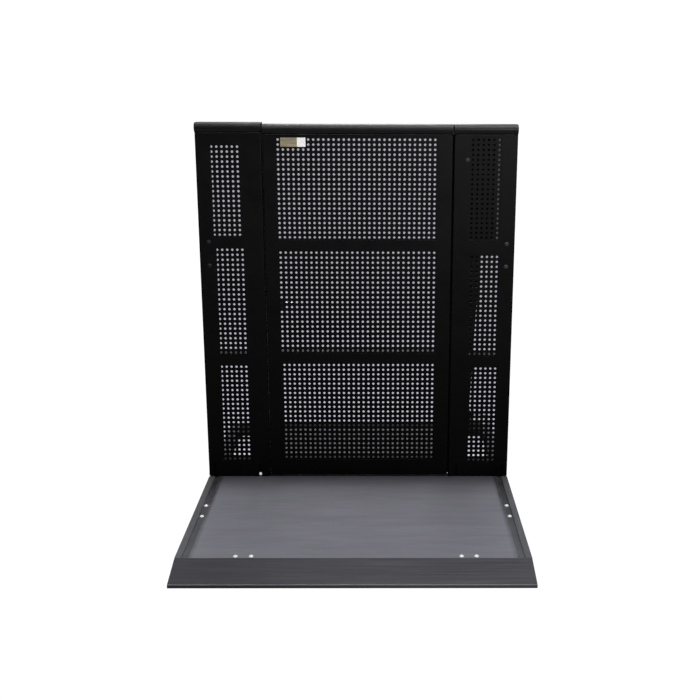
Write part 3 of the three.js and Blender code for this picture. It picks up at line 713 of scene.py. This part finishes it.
def coupling_screws(side, material):
    """Two socket screws through the jamb into their washer plate."""
    node = f"{side}_coupling_screws"
    low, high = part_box(node)
    x = (low.x + high.x) / 2
    bm = bmesh.new()
    add_box(bm, (low.x, FRAME_BACK + 0.3 * MM, low.z), (high.x, high.y, high.z), 1.0 * MM)
    for z in (low.z + WASHER_END, high.z - WASHER_END):
        add_socket_screw(bm, (x, 0, z), (0, -1, 0), *COUPLING_HEAD)
        add_rod(bm, (x, 0.5 * MM, z), (x, FRAME_BACK, z), COUPLING_SHANK)
        add_hex_nut(bm, (x, high.y, z), (0, 1, 0), *COUPLING_NUT)
    finish_node(node, bm, material)


coupling_screws("left", DARK_ZINC)
coupling_screws("right", OLD_ZINC)

# ---------------------------------------------------------------- base
for deck_node, deck_material in (("front_deck", DECK), ("rear_deck", SHADED_REAR_DECK)):
    refined(deck_node, deck_material, 0.7 * MM)
for beam_node in ("front_beam", "deck_beam", "centre_beam"):
    refined(beam_node, BLACK, 1.0 * MM)
refined("rear_beam", BLACK, 1.2 * MM)
for pad_node in ("floor_pad_left", "floor_pad_right", "floor_pad_centre"):
    refined(pad_node, RUBBER, 0.8 * MM)
refined("toe_ramp", RAMP, 0.6 * MM)

SADDLE = {"front": -1 * MM, "back": 42 * MM, "top": 29 * MM}  # low stretch under the upright
GROOVE = {"from": 463 * MM, "to": 481 * MM, "floor": 31.5 * MM}
FOLD_AXIS = Vector(JOINTS["right_fold"]["pos_m"])
EAR = {"radius": 11 * MM, "half": 4 * MM, "outer": 480 * MM, "inner": 328 * MM}
RAIL_WALL = 3 * MM
PLUG_DEPTH = 2 * MM
PLUG_PROUD = 1.5 * MM
DECK_HEAD = (5.1 * MM, 3.0 * MM)
BACKING = 3 * MM
CORNER_ANGLE = 1.0  # radians between two faces that meet at a corner of the outline


def rail_body(node, sign):
    """Extrusion with a sunk strip along its top, low under the upright."""
    low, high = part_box(node)
    inner, outer = sorted((abs(low.x), abs(high.x)))
    start, end, floor = GROOVE.values()
    outline = [(inner, low.z), (outer, low.z), (outer, DECK_TOP), (end, DECK_TOP), (end, floor),
               (start, floor), (start, DECK_TOP), (inner, DECK_TOP)]
    block = [(inner, low.z), (outer, low.z), (outer, SADDLE["top"]), (inner, SADDLE["top"])]
    bm = bmesh.new()
    for shape, y0, y1 in ((outline, low.y, SADDLE["front"]),
                          (block, SADDLE["front"], SADDLE["back"]),
                          (outline, SADDLE["back"], high.y)):
        add_prism(bm, [(sign * x, z) for x, z in shape], along_y, y0, y1)
    corners = [edge for edge in bm.edges if edge.calc_face_angle(0.0) > CORNER_ANGLE]
    soften(bm, corners, 0.35 * MM)
    make_piece(f"{node}_extrusion", bm, "base", RAIL_METAL, (node,))


def rail_plug(node):
    """Rubber plug in the rail's rear end."""
    low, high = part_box(node)
    bm = bmesh.new()
    add_box(bm, (low.x + RAIL_WALL, high.y - PLUG_DEPTH, low.z + RAIL_WALL),
            (high.x - RAIL_WALL, high.y + PLUG_PROUD, GROOVE["floor"] - RAIL_WALL), 1.0 * MM)
    make_piece(f"{node}_end_plug", bm, "base", RUBBER)


def outer_fold_ear(side, sign):
    """Round-topped ear for the fold pin, welded to the side rail's saddle."""
    y, z = FOLD_AXIS.y, FOLD_AXIS.z
    front, back, foot = y - EAR["radius"], y + EAR["radius"], SADDLE["top"]
    faces = (sign * EAR["outer"] - EAR["half"], sign * EAR["outer"] + EAR["half"])
    outline = [(front, foot), (back, foot)] + arc((y, z), EAR["radius"], 0, 180, 16)
    bm = bmesh.new()
    add_prism(bm, outline, along_x, *faces, 0.8 * MM)
    for x in faces:
        add_weld(bm, (x, front, foot), (x, back, foot), 1.6 * MM)
    make_piece(f"fold_ear_{side}_outer", bm, "base", BLACK)


def deck_screws(node, seat):
    """Two socket screws through the deck, with their backing strip underneath."""
    low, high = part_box(node)
    edge = min(high.x - low.x, high.y - low.y) / 2
    bm = bmesh.new()
    for x, y in ((low.x + edge, low.y + edge), (high.x - edge, high.y - edge)):
        add_socket_screw(bm, (x, y, seat), (0, 0, 1), *DECK_HEAD)
    finish_node(node, bm, GLINT_ZINC)
    strip = bmesh.new()
    add_box(strip, (low.x, low.y, low.z), (high.x, high.y, low.z + BACKING), 0.8 * MM)
    make_piece(f"{node}_backing", strip, "base", DULL_ZINC)


for side_name, side_sign in SIDES:
    rail_body(f"side_rail_{side_name}", side_sign)
    outer_fold_ear(side_name, side_sign)
    rail_plug(f"side_rail_{side_name}")
    deck_screws(f"rail_screws_{side_name}", GROOVE["floor"])
    deck_screws(f"ramp_screws_{side_name}", DECK_TOP)

# ---------------------------------------------------------------- pins, struts and lock pins
PIN_RADIUS = 6 * MM
CLIP = {"inset": 2.6 * MM, "bore": 4.5 * MM, "radius": 8.5 * MM, "thick": 1.2 * MM}


def cross_pin(node, clips):
    """Round pin along X; clips adds a retaining ring near each end."""
    low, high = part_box(node)
    y, z = centre_of(node).yz
    bm = bmesh.new()
    add_rod(bm, (low.x, y, z), (high.x, y, z), PIN_RADIUS, 0.8 * MM)
    if clips:
        for x, side in ((high.x - CLIP["inset"], 1), (low.x + CLIP["inset"], -1)):
            add_ring(bm, (x, y, z), (side, 0, 0), CLIP["bore"], CLIP["radius"], CLIP["thick"])
    finish_node(node, bm, DULL_ZINC)


KNOB_LENGTH = 12 * MM
PULL_RING = {"radius": 12 * MM, "wire": 1.3 * MM, "drop": 12 * MM, "proud": 1.2 * MM}


def lock_pin(side, sign):
    """Spring lock pin: round-nosed shank, knurled knob and a pull ring through the knob."""
    node = f"{side}_lock_pin"
    low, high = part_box(node)
    y, z = centre_of(node).yz
    start, end = (low.x, high.x) if sign > 0 else (high.x, low.x)
    shank_end = abs(end - start) - KNOB_LENGTH
    bm = bmesh.new()
    shank = [(0, 0), (2.2 * MM, 0.2 * MM), (3.4 * MM, 1.2 * MM), (4 * MM, 3 * MM),
             (4 * MM, shank_end), (0, shank_end)]
    add_turned(bm, shank, (start, y, z), (sign, 0, 0), 28)
    knob = [(0, -KNOB_LENGTH), (7.5 * MM, -KNOB_LENGTH), (8.8 * MM, -11 * MM),
            (9 * MM, -9.5 * MM), (9 * MM, -3 * MM), (8.4 * MM, -1.2 * MM), (6 * MM, 0), (0, 0)]
    knurled = (3, 4)
    add_turned(bm, knob, (end, y, z), (sign, 0, 0), 72, shape=lambda angle, ring: (
        1 + 0.035 * math.cos(18 * angle) if ring in knurled else 1.0))
    centre = Vector((end + sign * PULL_RING["proud"], y, z - PULL_RING["drop"]))
    circle = [centre + Vector((0, v, w)) for w, v in arc((0, 0), PULL_RING["radius"], 0, 351, 39)]
    add_sweep(bm, circle, lambda index: PULL_RING["wire"], 10, closed=True)
    finish_node(node, bm, ZINC)


for side_name, side_sign in SIDES:
    cross_pin(f"fold_pin_{side_name}", False)
    cross_pin(f"strut_foot_pin_{side_name}", True)
    cross_pin(f"{side_name}_strut_head_pin", True)
    lock_pin(side_name, side_sign)
    refined(f"{side_name}_strut", BLACK, 2.5 * MM, segments=3)
    refined(f"{side_name}_strut_bracket", BLACK, 0.8 * MM)


BRACKET_WELD = {"radius": 2.2 * MM, "end": 4 * MM, "out": 1 * MM}
FOOT_EAR_FACES = (-27 * MM, -21 * MM, 21 * MM, 27 * MM)  # measured from the strut's middle
FOOT_WELD = {"radius": 2.0 * MM, "from": 448 * MM, "to": 474 * MM}


def bracket_welds(side):
    """Welds along each bracket plate's top and sides, where the folded strut keeps clear, and along
    the foot ears on the rear beam."""
    node = f"{side}_strut_bracket"
    low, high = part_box(node)
    radius, end, out = BRACKET_WELD.values()
    y = low.y + out
    bm = bmesh.new()
    add_weld(bm, (low.x + end, y, high.z), (high.x - end, y, high.z), radius)
    for x in (low.x, high.x):
        add_weld(bm, (x, y, low.z + end), (x, y, high.z - end), radius)
    make_welds(f"{node}_welds", bm, BODY_OF[node], BLACK)

    foot = bmesh.new()
    middle = centre_of(f"strut_foot_pin_{side}").x
    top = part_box("rear_deck")[1].z
    for face in FOOT_EAR_FACES:
        add_weld(foot, (middle + face, FOOT_WELD["from"], top),
                 (middle + face, FOOT_WELD["to"], top), FOOT_WELD["radius"])
    make_welds(f"{side}_foot_ear_welds", foot, "base", BLACK)


for side_name, _ in SIDES:
    bracket_welds(side_name)

# ---------------------------------------------------------------- hinges
HINGE_AXIS = Vector(JOINTS["door_swing"]["pos_m"])
PLATE_BACK = FRAME_BACK + 3 * MM  # back of the plates of hinges, latch and drop bolt
BARREL = {"bore": 5.4 * MM, "radius": 9 * MM, "gap": 0.5 * MM}
LEAF = {"step": 2.5 * MM, "neck": 4.5 * MM}
LEAF_HEAD = (4.4 * MM, 2.2 * MM)
LEAF_SCREWS = (0.16, 0.5, 0.84)  # shares of the leaf's height
HINGE_PIN_RADIUS = 5 * MM
PIN_HEAD_HEIGHT = 4.5 * MM


def back_plate(bm, low, high):
    """Flat plate on the frame's back, over a node's width and height."""
    add_box(bm, (low.x, FRAME_BACK, low.z), (high.x, PLATE_BACK, high.z), 0.9 * MM)


def hinge_leaf(node, sign, knuckles):
    """Leaf plate with its neck, rolled knuckles and three screws."""
    low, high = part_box(node)
    x, y = HINGE_AXIS.xy
    near = x + sign * LEAF["step"]
    far = high.x if sign > 0 else low.x
    bm = bmesh.new()
    back_plate(bm, Vector((min(near, far), 0, low.z)), Vector((max(near, far), 0, high.z)))
    neck_low, neck_high = sorted((near, near + sign * LEAF["neck"]))
    for z0, z1 in knuckles:
        add_ring(bm, (x, y, z0), (0, 0, 1), BARREL["bore"], BARREL["radius"], z1 - z0, 0.6 * MM)
        add_box(bm, (neck_low, FRAME_BACK + 1 * MM, z0 + 0.3 * MM),
                (neck_high, y + 1 * MM, z1 - 0.3 * MM), 0.6 * MM)
    finish_node(node, bm, BLACK)
    screws = bmesh.new()
    middle = (near + far) / 2 + sign * 3 * MM
    for share in LEAF_SCREWS:
        seat = (middle, PLATE_BACK, low.z + (high.z - low.z) * share)
        add_socket_screw(screws, seat, (0, 1, 0), *LEAF_HEAD)
    make_piece(f"{node}_screws", screws, BODY_OF[node], DULL_ZINC)


def hinge_pin(node):
    low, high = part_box(node)
    x, y = HINGE_AXIS.xy
    bm = bmesh.new()
    add_rod(bm, (x, y, low.z), (x, y, high.z - 2 * MM), HINGE_PIN_RADIUS)
    head = [(0, 0), (8.2 * MM, 0), (9 * MM, 0.8 * MM), (8.6 * MM, 2.6 * MM), (6.4 * MM, 4 * MM),
            (3 * MM, PIN_HEAD_HEIGHT), (0, PIN_HEAD_HEIGHT)]
    add_turned(bm, head, (x, y, high.z - PIN_HEAD_HEIGHT), (0, 0, 1), 36)
    finish_node(node, bm, DULL_ZINC)


def hinge(name):
    """The jamb's leaf has an upper and a lower knuckle, and the door's leaf the middle one."""
    low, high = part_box(f"{name}_hinge_jamb_leaf")
    middle = (low.z + high.z) / 2
    knuckle = (high.z - low.z) / 4
    split = knuckle + BARREL["gap"]
    hinge_leaf(f"{name}_hinge_jamb_leaf", 1, ((low.z, middle - split), (middle + split, high.z)))
    hinge_leaf(f"{name}_hinge_door_leaf", -1, ((middle - knuckle, middle + knuckle),))
    hinge_pin(f"{name}_hinge_pin")


for hinge_name in ("lower", "upper"):
    hinge(hinge_name)

# ---------------------------------------------------------------- latch, drop bolt and handle
BOLT = 6 * MM
STAPLE = {"bore": 6.6 * MM, "wall": 3.4 * MM}
STAPLE_FOOT = FRAME_BACK + 1.8 * MM  # the staples' legs reach into their plate
BOLT_BEHIND = 10 * MM  # from a bolt's axis to the back of its guide
LATCH_STAPLES = ((6 * MM, 20 * MM), (34 * MM, 46 * MM))  # from the door's free edge
LATCH_SCREWS = {"x": 27 * MM, "rise": 11 * MM, "head": (3 * MM, 1.8 * MM)}
LATCH_KNOB = 75 * MM  # from the bolt's tip
KEEPER_END = 2 * MM
DROP_STAPLES = ((70 * MM, 84 * MM), (250 * MM, 264 * MM))
DROP_SCREWS = (110 * MM, 167 * MM, 225 * MM)
DROP_HEAD = (3 * MM, 1.6 * MM)
DROP_GRIP = {"radius": 4.6 * MM, "half": 4 * MM, "bend": 9 * MM}
HANDLE_BEND = 18 * MM
HANDLE_FOOT = {"radius": 13 * MM, "thick": 3 * MM}


def add_staple(bm, across, out, to_point, span):
    """U-shaped guide over a round bolt: across is beside the bolt, out is away from the plate."""
    bore = STAPLE["bore"]
    outer = bore + STAPLE["wall"]
    outline = [(across + outer, STAPLE_FOOT)]
    outline += arc((across, out), outer, 0, 180, 16)
    outline += [(across - outer, STAPLE_FOOT), (across - bore, STAPLE_FOOT)]
    outline += arc((across, out), bore, 180, 0, 16)
    outline += [(across + bore, STAPLE_FOOT)]
    add_prism(bm, outline, to_point, *span, 0.6 * MM)


def across_z(corner, distance):
    return Vector((distance, corner[1], corner[0]))


def latch():
    low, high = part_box("latch_housing")
    z = (low.z + high.z) / 2
    y = high.y - BOLT_BEHIND
    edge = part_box("door_frame")[0].x
    bm = bmesh.new()
    back_plate(bm, low, high)
    for start, end in LATCH_STAPLES:
        add_staple(bm, z, y, across_z, (edge + start, edge + end))
    for rise in (-LATCH_SCREWS["rise"], LATCH_SCREWS["rise"]):
        seat = (edge + LATCH_SCREWS["x"], PLATE_BACK, z + rise)
        add_socket_screw(bm, seat, (0, 1, 0), *LATCH_SCREWS["head"])
    finish_node("latch_housing", bm, DULL_ZINC)

    low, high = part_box("latch_bolt")
    reach = high.y - y
    bm = bmesh.new()
    add_rod(bm, (low.x, y, z), (high.x, y, z), BOLT, 1.2 * MM)
    stem = [(0, 3 * MM), (4 * MM, 3 * MM), (3.4 * MM, reach * 0.55), (4.2 * MM, reach * 0.7),
            (6.4 * MM, reach * 0.82), (6.2 * MM, reach * 0.93), (3.6 * MM, reach), (0, reach)]
    add_turned(bm, stem, (low.x + LATCH_KNOB, y, z), (0, 1, 0), 28)
    finish_node("latch_bolt", bm, ZINC)

    low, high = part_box("latch_keeper")
    bm = bmesh.new()
    back_plate(bm, low, high)
    add_staple(bm, z, y, across_z, (low.x + KEEPER_END, high.x - KEEPER_END))
    finish_node("latch_keeper", bm, DULL_ZINC)


def drop_bolt():
    low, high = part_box("drop_bolt_guide")
    x = (low.x + high.x) / 2
    y = high.y - BOLT_BEHIND
    bm = bmesh.new()
    back_plate(bm, low, high)
    for span in DROP_STAPLES:
        add_staple(bm, x, y, along_z, span)
    for z in DROP_SCREWS:
        add_socket_screw(bm, (x, PLATE_BACK, z), (0, 1, 0), *DROP_HEAD)
    finish_node("drop_bolt_guide", bm, DULL_ZINC)

    low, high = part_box("drop_bolt")
    bend = DROP_GRIP["bend"]
    top = high.z - DROP_GRIP["half"]
    rod = [Vector((x, y, z)) for z in (low.z, low.z + 60 * MM, top - bend * 2)]
    grip = [Vector((x, v, w)) for v, w in arc((y + bend, top - bend), bend, 180, 90, 8)]
    grip.append(Vector((x, high.y, top)))
    bm = bmesh.new()
    add_sweep(bm, rod + grip, lambda index: BOLT if index < len(rod) else DROP_GRIP["radius"], 24)
    finish_node("drop_bolt", bm, ZINC)


def door_handle():
    """Bent bar between two round foot plates."""
    low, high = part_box("door_handle")
    x = (low.x + high.x) / 2
    radius = (high.x - low.x) / 2
    bend = HANDLE_BEND
    straight = high.y - radius - bend
    start = FRAME_BACK + 0.5 * MM
    bottom, top = low.z + radius, high.z - radius
    side = [(start, bottom), (straight, bottom)]
    side += arc((straight, bottom + bend), bend, -90, 0, 10)
    side += arc((straight, top - bend), bend, 0, 90, 10)
    side += [(straight, top), (start, top)]
    bm = bmesh.new()
    add_sweep(bm, [Vector((x, v, w)) for v, w in side], lambda index: radius, 24)
    wide, thick = HANDLE_FOOT.values()
    foot = [(0, 0), (wide, 0), (wide, thick - 1 * MM), (wide - 1 * MM, thick), (radius, thick),
            (radius, thick + 2 * MM), (0, thick + 2 * MM)]
    for z in (bottom, top):
        add_turned(bm, foot, (x, FRAME_BACK, z), (0, 1, 0), 36)
    finish_node("door_handle", bm, BLACK)


latch()
drop_bolt()
door_handle()

STIFFENER_SCREW = {"seat": (345.5 * MM, 0, 1092 * MM), "head": (5.0 * MM, 2.4 * MM)}
EAR_SCREW = {"height": 40.5 * MM, "head": (4.4 * MM, 3.4 * MM)}


def small_screws():
    """Single screws: one through the stiffener, and one through each inner fold ear."""
    front = (0, -1, 0)
    bm = bmesh.new()
    add_socket_screw(bm, STIFFENER_SCREW["seat"], front, *STIFFENER_SCREW["head"])
    make_piece("stiffener_screw", bm, "right_jamb", OLD_ZINC)
    for side, sign, material in (("left", -1, GLINT_ZINC), ("right", 1, BLACK)):
        bm = bmesh.new()
        seat = (sign * EAR["inner"], FOLD_AXIS.y - EAR["radius"], EAR_SCREW["height"])
        add_socket_screw(bm, seat, front, *EAR_SCREW["head"])
        make_piece(f"fold_ear_{side}_screw", bm, "base", material)


small_screws()

# ---------------------------------------------------------------- floor, light, camera
CAMERA_PLACE = Vector((0.077, -2.952, 1.350))
FLOOR_REACH = 30.0
WHITE = 1.05  # strength of the floor and world that the front camera sees as white


def front_view(s):
    """1 for a ray that reaches this point from the front camera's place, and 0 for any other."""
    to_camera = s.out("ShaderNodeVectorMath", {0: CAMERA_PLACE, 1: s.coords}, operation="SUBTRACT")
    to_camera = s.out("ShaderNodeVectorMath", {0: to_camera}, operation="NORMALIZE")
    incoming = s.add("ShaderNodeNewGeometry").outputs["Incoming"]
    same = s.add("ShaderNodeVectorMath", {0: to_camera, 1: incoming}, operation="DOT_PRODUCT")
    return s.math("GREATER_THAN", same.outputs["Value"], 0.99999)


def upright_shade(s):
    """The floor's soft shade seen through the holes from the front: 1 inside the upright's outline
    as the front camera sees it, fading in behind the upright. It is darker towards the right, and
    darkest in the open column beside the stiffener."""
    half_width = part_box("right_jamb_frame")[1].x
    frame_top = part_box("door_frame")[1].z
    plate_low, plate_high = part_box("right_jamb_stiffener")
    place = s.axes(s.coords)
    share = s.math("DIVIDE", -CAMERA_PLACE.y, s.math("SUBTRACT", place["Y"], CAMERA_PLACE.y))
    aside = s.math("SUBTRACT", place["X"], CAMERA_PLACE.x)
    across = s.math("ADD", CAMERA_PLACE.x, s.times(share, aside))
    height = s.times(CAMERA_PLACE.z, s.math("SUBTRACT", 1.0, share))
    beside = s.ramp(s.math("ABSOLUTE", across), half_width - 5 * MM, half_width - 35 * MM)
    below = s.ramp(height, frame_top + 17 * MM, frame_top - 8 * MM)
    beyond = s.ramp(place["Y"], 0.05, 0.36)
    shade = s.times(s.times(beside, below), beyond)
    near, far = (0.49, 0.48, 0.55, 1.0), (0.38, 0.37, 0.42, 1.0)
    shadow = s.mix(s.ramp(place["Y"], 0.7, 4.0), near, far)
    shadow = s.mix(s.ramp(across, 0.3, 0.45, 0.0, 0.2), shadow, (0.2, 0.2, 0.22, 1.0))
    column = s.ramp(across, plate_high.x - 20 * MM, plate_high.x - 10 * MM)
    column = s.times(column, s.ramp(height, plate_low.z - 32 * MM, plate_low.z + 8 * MM))
    return shade, s.mix(column, shadow, (0.06, 0.06, 0.065, 1.0))


def white_floor():
    """Pale floor. The front camera sees it white, and shaded behind the holes; other cameras see it
    lit, with the object's soft shadow. Every other ray meets a mid-grey floor."""
    bm = bmesh.new()
    bmesh.ops.create_grid(bm, x_segments=1, y_segments=1, size=FLOOR_REACH)
    mesh = bpy.data.meshes.new("floor")
    bm.to_mesh(mesh)
    bm.free()
    s = Shader("pale_floor", "")
    shade, shadow = upright_shade(s)
    color = s.mix(shade, grey(1.0), shadow)
    front = s.out("ShaderNodeEmission", {"Color": color, "Strength": WHITE})
    lit = s.out("ShaderNodeBsdfDiffuse", {"Color": grey(0.3)})
    pale = s.out("ShaderNodeBsdfDiffuse", {"Color": grey(0.8)})
    distance = s.add("ShaderNodeVectorMath", {0: s.coords}, operation="LENGTH").outputs["Value"]
    # The floor's own glow: dim near the middle, where the lamps' shadow shows, and white farther off.
    fill = s.out("ShaderNodeEmission", {"Strength": s.ramp(distance, 0.8, 2.6, 0.38, 1.1)})
    around = s.out("ShaderNodeAddShader", {0: pale, 1: fill})
    seen = s.blend(front_view(s), around, front)
    mesh.materials.append(s.end(s.blend(s.camera_ray(), lit, seen)))
    new_object("floor", mesh)


def studio_world():
    """White behind the object for the camera; for other rays a dim room, brighter to the right and
    on the stage side."""
    level, right, stage = 0.32, 0.12, 0.14
    world = bpy.data.worlds.new("studio")
    bpy.context.scene.world = world
    w = Nodes(world)
    direction = w.axes(w.add("ShaderNodeTexCoord").outputs["Generated"])
    walls = w.math("MULTIPLY_ADD", direction["X"], right, level)
    walls = w.math("MULTIPLY_ADD", direction["Y"], stage, walls)
    ceiling = w.ramp(direction["Z"], 0.25, 0.75, 1.0, 0.3)
    light = w.times(walls, ceiling)
    room = w.out("ShaderNodeBackground", {0: (0.97, 0.98, 1.0, 1.0), 1: light})
    white = w.out("ShaderNodeBackground", {0: grey(1.0), 1: WHITE})
    w.add("ShaderNodeOutputWorld", {0: w.blend(w.camera_ray(), room, white)})


# Each lamp's place, the point it faces, its width and height in metres, and its power in watts.
LAMPS = {
    "overhead": ((0.12, 0.06, 4.0), (0.1, 0.0, 0.0), (2.6, 0.4), 40.0),
    "front_top": ((0.4, -1.6, 3.6), (0.0, 0.0, 1.2), (2.4, 0.5), 24.0),
    "right_front": ((1.25, -3.1, 1.9), (0.3, 0.0, 0.95), (0.9, 0.9), 15.0),
    "stage_side": ((0.0, 3.0, 2.6), (0.0, 0.2, 0.5), (1.3, 1.2), 22.0),
    "stage_top": ((0.0, 1.7, 3.0), (0.0, 0.1, 0.6), (1.8, 0.7), 17.0),
}


def soft_light(name, place, target, size, power):
    data = bpy.data.lights.new(name, "AREA")
    data.shape = "RECTANGLE"
    data.size, data.size_y = size
    data.energy = power
    light = new_object(name, data)
    light.location = place
    light.rotation_mode = "QUATERNION"
    light.rotation_quaternion = (Vector(target) - Vector(place)).to_track_quat("-Z", "Y")
    light.visible_camera = False


CAMERA_TURN = (0.36, 13.38, -0.14)  # degrees to the right, down and about the view
CAMERA_LENS = 48.58
CAMERA_SHIFT = (-0.053, -0.073)


def front_camera():
    data = bpy.data.cameras.new("camera")
    data.sensor_width = 36.0
    data.lens = CAMERA_LENS
    data.shift_x, data.shift_y = CAMERA_SHIFT
    yaw, pitch, roll = (math.radians(angle) for angle in CAMERA_TURN)
    forward = Vector((math.sin(yaw) * math.cos(pitch), math.cos(yaw) * math.cos(pitch),
                      -math.sin(pitch)))
    right = Vector((math.cos(yaw), -math.sin(yaw), 0.0))
    down = forward.cross(right)
    right, down = (right * math.cos(roll) + down * math.sin(roll),
                   down * math.cos(roll) - right * math.sin(roll))
    basis = Matrix((right, -down, -forward)).transposed()
    camera = new_object("camera", data)
    camera.matrix_world = Matrix.Translation(CAMERA_PLACE) @ basis.to_4x4()
    bpy.context.scene.camera = camera


white_floor()
studio_world()
for lamp_name, lamp in LAMPS.items():
    soft_light(lamp_name, *lamp)
front_camera()
bpy.context.scene.view_settings.view_transform = "Standard"
